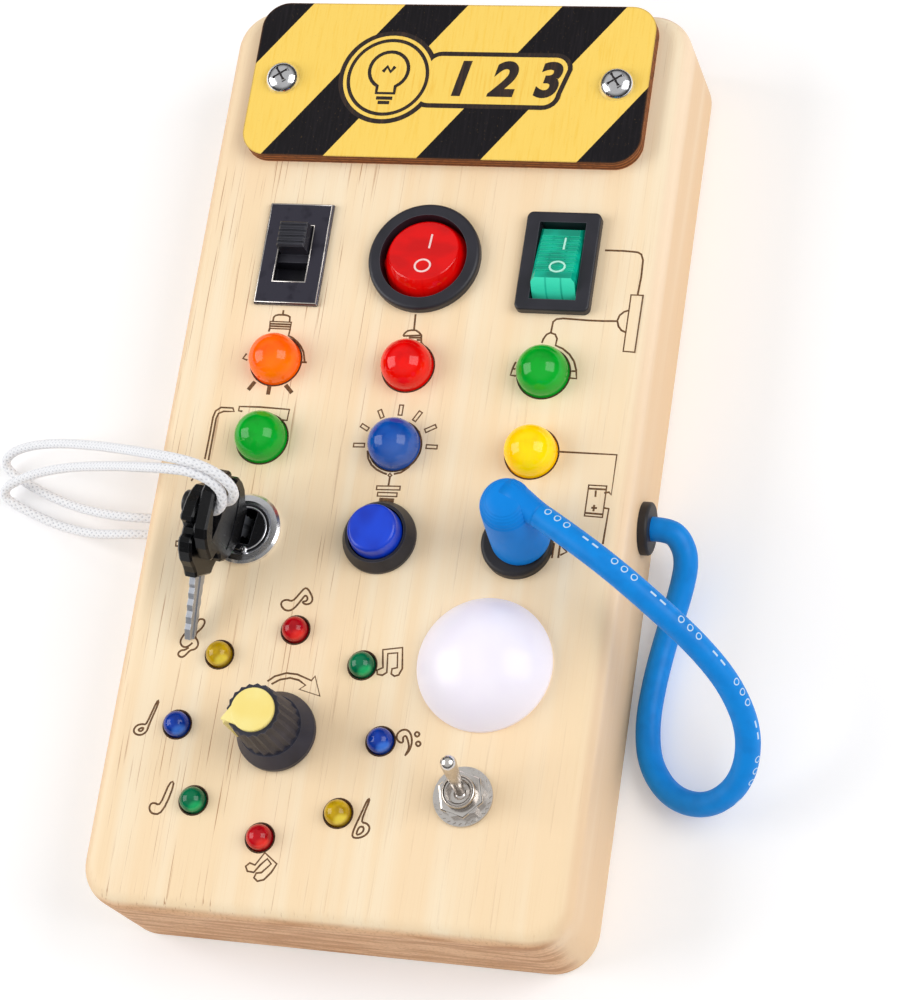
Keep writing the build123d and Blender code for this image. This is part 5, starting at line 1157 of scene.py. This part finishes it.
def turned(profile, origin, axis, steps=full_turn_steps):
    """A profile of (radius, height) pairs in mm, spun round an axis through origin."""
    shape = bmesh.new()
    corners = [shape.verts.new((radius, 0, height)) for radius, height in profile]
    edges = [shape.edges.new(pair) for pair in zip(corners, corners[1:])]
    bmesh.ops.spin(shape, geom=corners + edges, cent=(0, 0, 0), axis=(0, 0, 1), angle=2 * math.pi,
                   steps=steps, use_merge=True)
    bmesh.ops.remove_doubles(shape, verts=shape.verts, dist=merge_reach)
    bmesh.ops.recalc_face_normals(shape, faces=shape.faces)
    turn = Vector((0, 0, 1)).rotation_difference(Vector(axis)).to_matrix().to_4x4()
    bmesh.ops.transform(shape, matrix=Matrix.Translation(Vector(origin)) @ turn, verts=shape.verts)
    return shape


def to_mesh(shape, name):
    """A bmesh in mm, made a mesh in metres."""
    bmesh.ops.scale(shape, vec=(MM, MM, MM), verts=shape.verts)
    mesh = bpy.data.meshes.new(name)
    shape.to_mesh(mesh)
    shape.free()
    return mesh


print("a full turn has", full_turn_steps, "steps unless told otherwise")

# %% [markdown]
# The boot is soft rubber over a hard socket. Its wall narrows towards the top, and the rounded crown
# is a row of small treads. The whole boot is leant over after it has been turned, by moving each
# point sideways in step with its height. The neck is a second turned shape, lying on its side.

# %% The plug's boot
boot_bottom, boot_height = Vector((29.05, -18.0, 28.3)), 15.1
boot_lean = Vector((-0.2, 2.2, 0))
boot_profile = [(0, 0), (5.4, 0), (5.78, 0.12), (5.9, 0.5), (5.82, 2.0), (5.35, 9.6), (5.14, 12.0)]
crown_radius, crown_reach, crown_low, crown_rise = 2.75, 2.36, 12.3, 2.5
tread_corners = ((0, 0), (0.05, 0.12), (0.2, 0.16))
for turn in (0.0, 18, 33, 47, 60, 72):
    radius = crown_radius + crown_reach * math.cos(math.radians(turn))
    height = crown_low + crown_rise * math.sin(math.radians(turn))
    boot_profile += [(radius - inward, height + up) for inward, up in tread_corners]
boot_profile += [(2.9, 15.0), (1.6, 15.08), (0, 15.1)]
boot_shape = turned(boot_profile, boot_bottom, (0, 0, 1))
for point in boot_shape.verts:
    point.co += boot_lean * ((point.co.z - boot_bottom.z) / boot_height)
neck_root, neck_way = Vector((29.65, -14.41, 40.5)), Vector((0.8678, -0.4970, 0))
neck_profile = [(0, -1.5), (3.1, -1.5), (3.0, 1.5), (2.85, 2.8), (2.68, 3.9), (2.55, 5.0), (2.46, 6.0),
                (2.42, 6.5), (0, 6.5)]
neck_shape = turned(neck_profile, neck_root, neck_way, 48)
neck_mesh = bpy.data.meshes.new("neck")
neck_shape.to_mesh(neck_mesh)
neck_shape.free()
boot_shape.from_mesh(neck_mesh)
boot_mesh = to_mesh(boot_shape, "soft_boot")
soft_boot = add_piece("soft_boot", boot_mesh, "plug", "plug_blue", finishes["plug_blue"])
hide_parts("plug_boot")

# %% [markdown]
# The toggle's stem is threaded for its nut. Only a few turns of the thread show between the nut and
# the rim. A thread this fine looks like plain grooves, so the profile is a zigzag.

# %% Turned parts: the toggle's thread
toggle_middle, toggle_chrome = (24.85, -68.5), finishes["toggle_chrome"]
thread_low, thread_high, thread_pitch = 28.75, 29.95, 0.4
thread_core, thread_root, thread_crest = 2.9, 2.96, 3.16
thread_profile = [(thread_core, thread_low)]
groove = thread_low
while groove < thread_high:
    thread_profile += [(thread_root, groove), (thread_crest, groove + thread_pitch / 2)]
    groove += thread_pitch
thread_profile += [(thread_root, groove), (thread_core, groove)]
thread_mesh = to_mesh(turned(thread_profile, (*toggle_middle, 0), (0, 0, 1), 48), "toggle_thread")
add_piece("toggle_thread", thread_mesh, "board", "toggle_chrome", toggle_chrome)

# %% [markdown]
# The nut is a hexagon, chamfered on top where it was turned from bar, over a lock washer whose teeth
# bite into the nut. Both keep their flat faces, so they aren't shaded smooth.

# %% Toggle: the nut
face_mm = face_height / MM
washer_low, nut_low, nut_high = face_mm + 0.55, face_mm + 0.95, face_mm + 2.72
nut_corner, nut_turn, nut_chamfer = 4.7, 15, 0.42
nut_shape = bmesh.new()
bmesh.ops.create_cone(nut_shape, cap_ends=True, segments=6, radius1=nut_corner, radius2=nut_corner,
                      depth=nut_high - nut_low)
nut_top = [edge for edge in nut_shape.edges if min(corner.co.z for corner in edge.verts) > 0]
bmesh.ops.bevel(nut_shape, geom=nut_top, offset=nut_chamfer, segments=3, affect="EDGES", profile=0.5,
                material=-1)
nut_place = Matrix.Translation(Vector((*toggle_middle, (nut_low + nut_high) / 2)))
bmesh.ops.transform(nut_shape, matrix=nut_place @ Matrix.Rotation(math.radians(nut_turn), 4, "Z"),
                    verts=nut_shape.verts)
nut_mesh = to_mesh(nut_shape, "toggle_nut_flats")
add_piece("toggle_nut_flats", nut_mesh, "board", "toggle_chrome", toggle_chrome, smooth=False)

# %% [markdown]
# The washer starts as a flat circle whose every second corner is pulled out into a tooth, and is
# then given its thickness. Its normals are recalculated, because the face left below still points up.

# %% Toggle: the lock washer
teeth, tooth_reach, washer_reach, washer_height = 30, 5.5, 5.0, 0.42
washer_shape = bmesh.new()
rim = bmesh.ops.create_circle(washer_shape, cap_ends=True, segments=2 * teeth, radius=washer_reach)["verts"]
for corner in rim[::2]:
    corner.co *= tooth_reach / washer_reach
raised = bmesh.ops.extrude_face_region(washer_shape, geom=washer_shape.faces[:])["geom"]
lifted = [element for element in raised if isinstance(element, bmesh.types.BMVert)]
bmesh.ops.translate(washer_shape, vec=(0, 0, washer_height), verts=lifted)
bmesh.ops.recalc_face_normals(washer_shape, faces=washer_shape.faces)
bmesh.ops.translate(washer_shape, vec=(*toggle_middle, washer_low), verts=washer_shape.verts)
washer_mesh = to_mesh(washer_shape, "toggle_lock_washer")
add_piece("toggle_lock_washer", washer_mesh, "board", "toggle_chrome", toggle_chrome, smooth=False)

# %% [markdown]
# The sign's screws have a cross recess, which lies in shade and looks nearly black beside the
# chrome. That shade is painted on the head as a dark bead that follows the dome and is sunk until a
# thin strip of it shows.

# %% Sign: painted shade in the screws' recesses
# Painted shade: a dark metal for the recesses.
recess_shade = metal("screw_recess", (66, 62, 64), (30, 28, 30), 0.5)
recess_half, recess_turn, recess_bead, recess_shown = 1.7, math.radians(35), 0.8, 0.08
screw_inset, recess_steps = 3.7, 10
recess_lines = []
for screw in (-1, 1):
    screw_x = screw * (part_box("sign_screws")[1][0] / MM - screw_inset)
    screw_y = middle("sign_screws")[1]
    for turn in (recess_turn, recess_turn + math.pi / 2):
        reach_x, reach_y = recess_half * math.cos(turn), recess_half * math.sin(turn)
        recess_lines.append(along_line((screw_x - reach_x, screw_y - reach_y),
                                       (screw_x + reach_x, screw_y + reach_y), recess_steps))
dropped_recesses = dropped(recess_lines, "sign_screws", recess_bead / 2 - recess_shown)
recess_mesh = drawn_mesh("screw_recess_shade_beads", dropped_recesses, recess_bead)
add_piece("screw_recess_shade_beads", recess_mesh, "board", "screw_chrome", recess_shade)

# %% [markdown]
# The dial's cap is a drop in outline. Its round part runs out into a beak that overhangs the grip
# and points at the lamps.

# %% Dial: the cap's beak
dial_middle = middle("dial_shaft")
cap_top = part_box("dial_cap")[1][2] / MM
beak_angle, beak_middle, beak_size, beak_height = math.radians(201), 3.05, 3.3, 0.95
beak_widening, beak_rounding, beak_sink = 1.25, 0.22, 0.04
beak_shape = bmesh.new()
bmesh.ops.create_cone(beak_shape, cap_ends=True, segments=3, radius1=beak_size, radius2=beak_size,
                      depth=beak_height)
tip = max(beak_shape.verts, key=lambda corner: round(corner.co.to_2d().length, 3))
tip_angle = math.atan2(tip.co.y, tip.co.x)
bmesh.ops.rotate(beak_shape, matrix=Matrix.Rotation(-tip_angle, 3, "Z"), verts=beak_shape.verts)
bmesh.ops.scale(beak_shape, vec=(1, beak_widening, 1), verts=beak_shape.verts)
bmesh.ops.bevel(beak_shape, geom=beak_shape.edges[:], offset=beak_rounding, segments=3, affect="EDGES",
                profile=0.5, material=-1)
beak_place = Vector((dial_middle[0] + beak_middle * math.cos(beak_angle),
                     dial_middle[1] + beak_middle * math.sin(beak_angle),
                     cap_top - beak_height / 2 - beak_sink))
bmesh.ops.transform(beak_shape, matrix=Matrix.Translation(beak_place) @ Matrix.Rotation(beak_angle, 4, "Z"),
                    verts=beak_shape.verts)
add_piece("dial_beak", to_mesh(beak_shape, "dial_beak"), "dial", "cap_cream", finishes["cap_cream"])
print("dial at", dial_middle, "cap top", round(cap_top, 2))

# %% [markdown]
# The slide switch's plate is stamped from thin steel and nickelled dark. Stamping leaves a raised
# lip round the slot and a bevel round the rim, which catch the light; both are drawn as beads of a
# pale metal, a painted highlight.

# %% Slide switch: the plate's lips, a painted highlight
plate_low, plate_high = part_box("slide_switch_plate")
plate_middle = middle("slide_switch_plate")
plate_half = ((plate_high[0] - plate_low[0]) / 2 / MM, (plate_high[1] - plate_low[1]) / 2 / MM)
slot_half = (3.3, 6.05)
rim_inset, slot_outset, lip_width, lip_share = 0.3, 0.15, 0.34, 0.5


def rectangle(center, half_x, half_y):
    """A closed rectangle round a centre."""
    x, y = center
    return [(x - half_x, y - half_y), (x + half_x, y - half_y), (x + half_x, y + half_y),
            (x - half_x, y + half_y), (x - half_x, y - half_y)]


# Painted highlight: a pale metal for the lips.
lip_highlight_metal = metal("plate_lip", (236, 228, 220), (178, 168, 160), 0.22)
lips = [rectangle(plate_middle, plate_half[0] - rim_inset, plate_half[1] - rim_inset),
        rectangle(plate_middle, slot_half[0] + slot_outset, slot_half[1] + slot_outset)]
lip_mesh = press_flat(drawn_mesh("plate_lips", lips, lip_width), lip_share, plate_high[2])
add_piece("plate_lips", lip_mesh, "board", "plate_nickel", lip_highlight_metal)

# %% [markdown]
# The lock's rotor has a raised ring pressed into its face, and a small pin head beside the keyway.
# Both catch the light against the black. The ring is part of the black rotor, so the screws' chrome
# that it is given is a painted highlight.

# %% Lock: the rotor's ring and pin
rotor_middle = middle("lock_rotor")
rotor_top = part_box("lock_rotor")[1][2]
rotor_ring_radius, rotor_ring_width, rotor_ring_share = 4.35, 0.4, 0.6
rotor_ring = drawn_mesh("rotor_ring", [ring(rotor_middle, rotor_ring_radius, 48)], rotor_ring_width)
ring_mesh = press_flat(rotor_ring, rotor_ring_share, rotor_top)
# Painted highlight: the ring takes the screws' chrome.
add_piece("rotor_ring", ring_mesh, "key", "lock_chrome", finishes["screw_chrome"])
pin_profile = [(0.75, -0.2), (0.75, 0.15), (0.62, 0.32), (0.3, 0.42), (0.12, 0.36), (0, 0.3)]
pin_aside = 0.6
pin_x, pin_y = rotor_middle[0] + pin_aside, rotor_middle[1] - rotor_ring_radius
pin_shape = turned(pin_profile, (pin_x, pin_y, rotor_top / MM), (0, 0, 1), 24)
add_piece("rotor_pin", to_mesh(pin_shape, "rotor_pin"), "key", "lock_chrome", finishes["screw_chrome"])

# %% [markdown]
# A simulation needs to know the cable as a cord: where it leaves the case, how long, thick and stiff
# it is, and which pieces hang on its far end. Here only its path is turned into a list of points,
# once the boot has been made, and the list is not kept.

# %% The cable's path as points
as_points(cable_path)

# %% [markdown]
# The board stands in a white studio: a white floor, an even light from all round, and two square
# lights, one on the left and a slightly higher one on the right. They are placed from where they
# should mirror in a round lamp. A point of a ball that is seen at some share of its radius to the
# right and above its middle faces that way, and mirrors what lies twice as far round.

# %% Studio light
softbox_distance, softbox_width = 1.0, 0.7
target = Vector((0, -0.01, 0.02))


def softbox(name, right, up, watts):
    """A square light whose mirror image in a ball lies at right, up, in shares of its radius."""
    facing = Vector((right, up, math.sqrt(1 - right * right - up * up)))
    mirrored = 2 * facing.z * facing - Vector((0, 0, 1))
    direction = mirrored.x * camera_right + mirrored.y * camera_up - mirrored.z * camera_forward
    lamp = bpy.data.lights.new(name, "AREA")
    lamp.size = softbox_width
    lamp.energy = watts
    stand = link(name, lamp)
    stand.matrix_world = Matrix.Translation(target + direction * softbox_distance) @ (
        direction.to_track_quat("Z", "Y").to_matrix().to_4x4())
    print(name, "stands", [round(value, 2) for value in stand.location])


softbox("left_softbox", -0.58, 0.10, 5.2)
softbox("right_softbox", 0.30, 0.15, 5.0)

# %% [markdown]
# The even light is the world's own. Metal and glossy plastic would mirror it as a white haze on every
# upright side, so mirrored rays alone see it fade out towards the horizon, as if the studio's walls
# were dark. The world has a node tree like a material's, and the same method places its nodes.

# %% Even light


class Sky(Finish):
    """The world, with a light that its nodes work out."""

    def __init__(self, name):
        world = bpy.data.worlds.new(name)
        bpy.context.scene.world = world
        world.use_nodes = True
        self.tree = world.node_tree
        self.tree.nodes.clear()


sky_light, horizon_light, sky_low, sky_high = 0.46, 0.03, 0.25, 0.6
sky = Sky("studio")
sky_rise = sky.axis(sky.node("TexCoord", output="Object"), "Z")
mirrored_light = sky.node("MapRange", inputs={
    "Value": sky_rise, "From Min": sky_low, "From Max": sky_high,
    "To Min": horizon_light, "To Max": sky_light})
is_mirrored = sky.node("LightPath", output="Is Glossy Ray")
sky_strength = sky.node("Mix", inputs={"Factor_Float": is_mirrored, "A_Float": sky_light,
                                       "B_Float": mirrored_light}, output="Result_Float")
background = sky.node("Background", inputs={"Color": (1, 1, 1), "Strength": sky_strength})
sky.node("OutputWorld", inputs={"Surface": background})
bpy.context.scene.view_settings.view_transform = "Standard"
print("the sky has", len(sky.tree.nodes), "nodes")

# %% [markdown]
# The floor is a sheet of white paper, a hair below the case so that the two never flicker. It takes
# the object's shadow, and a faint glow that only the camera sees lifts it to white.

# %% Floor
floor_half, floor_drop = 3.0, 0.3
paper_white, paper_glow = (0.96, 0.96, 0.97), (0.14, 0.14, 0.14)
floor_mesh = bpy.data.meshes.new("floor")
sheet = bmesh.new()
bmesh.ops.create_grid(sheet, x_segments=1, y_segments=1, size=floor_half,
                      matrix=Matrix.Translation((0, 0, -floor_drop * MM)))
sheet.to_mesh(floor_mesh)
sheet.free()
floor = link("floor", floor_mesh)
paper = Finish("white_paper")
seen_straight = paper.node("LightPath", output="Is Camera Ray")
diffuse = paper.node("BsdfDiffuse", inputs={"Color": paper_white})
glow = paper.node("Emission", inputs={"Color": paper_glow, "Strength": seen_straight})
paper.node("OutputMaterial", inputs={"Surface": paper.node("AddShader", inputs={0: diffuse, 1: glow})})
give(floor, paper)
print("floor", 2 * floor_half, "m wide")

# %% [markdown]
# At the end the scene is updated once more.

# %% Update the scene
bpy.context.view_layer.update()
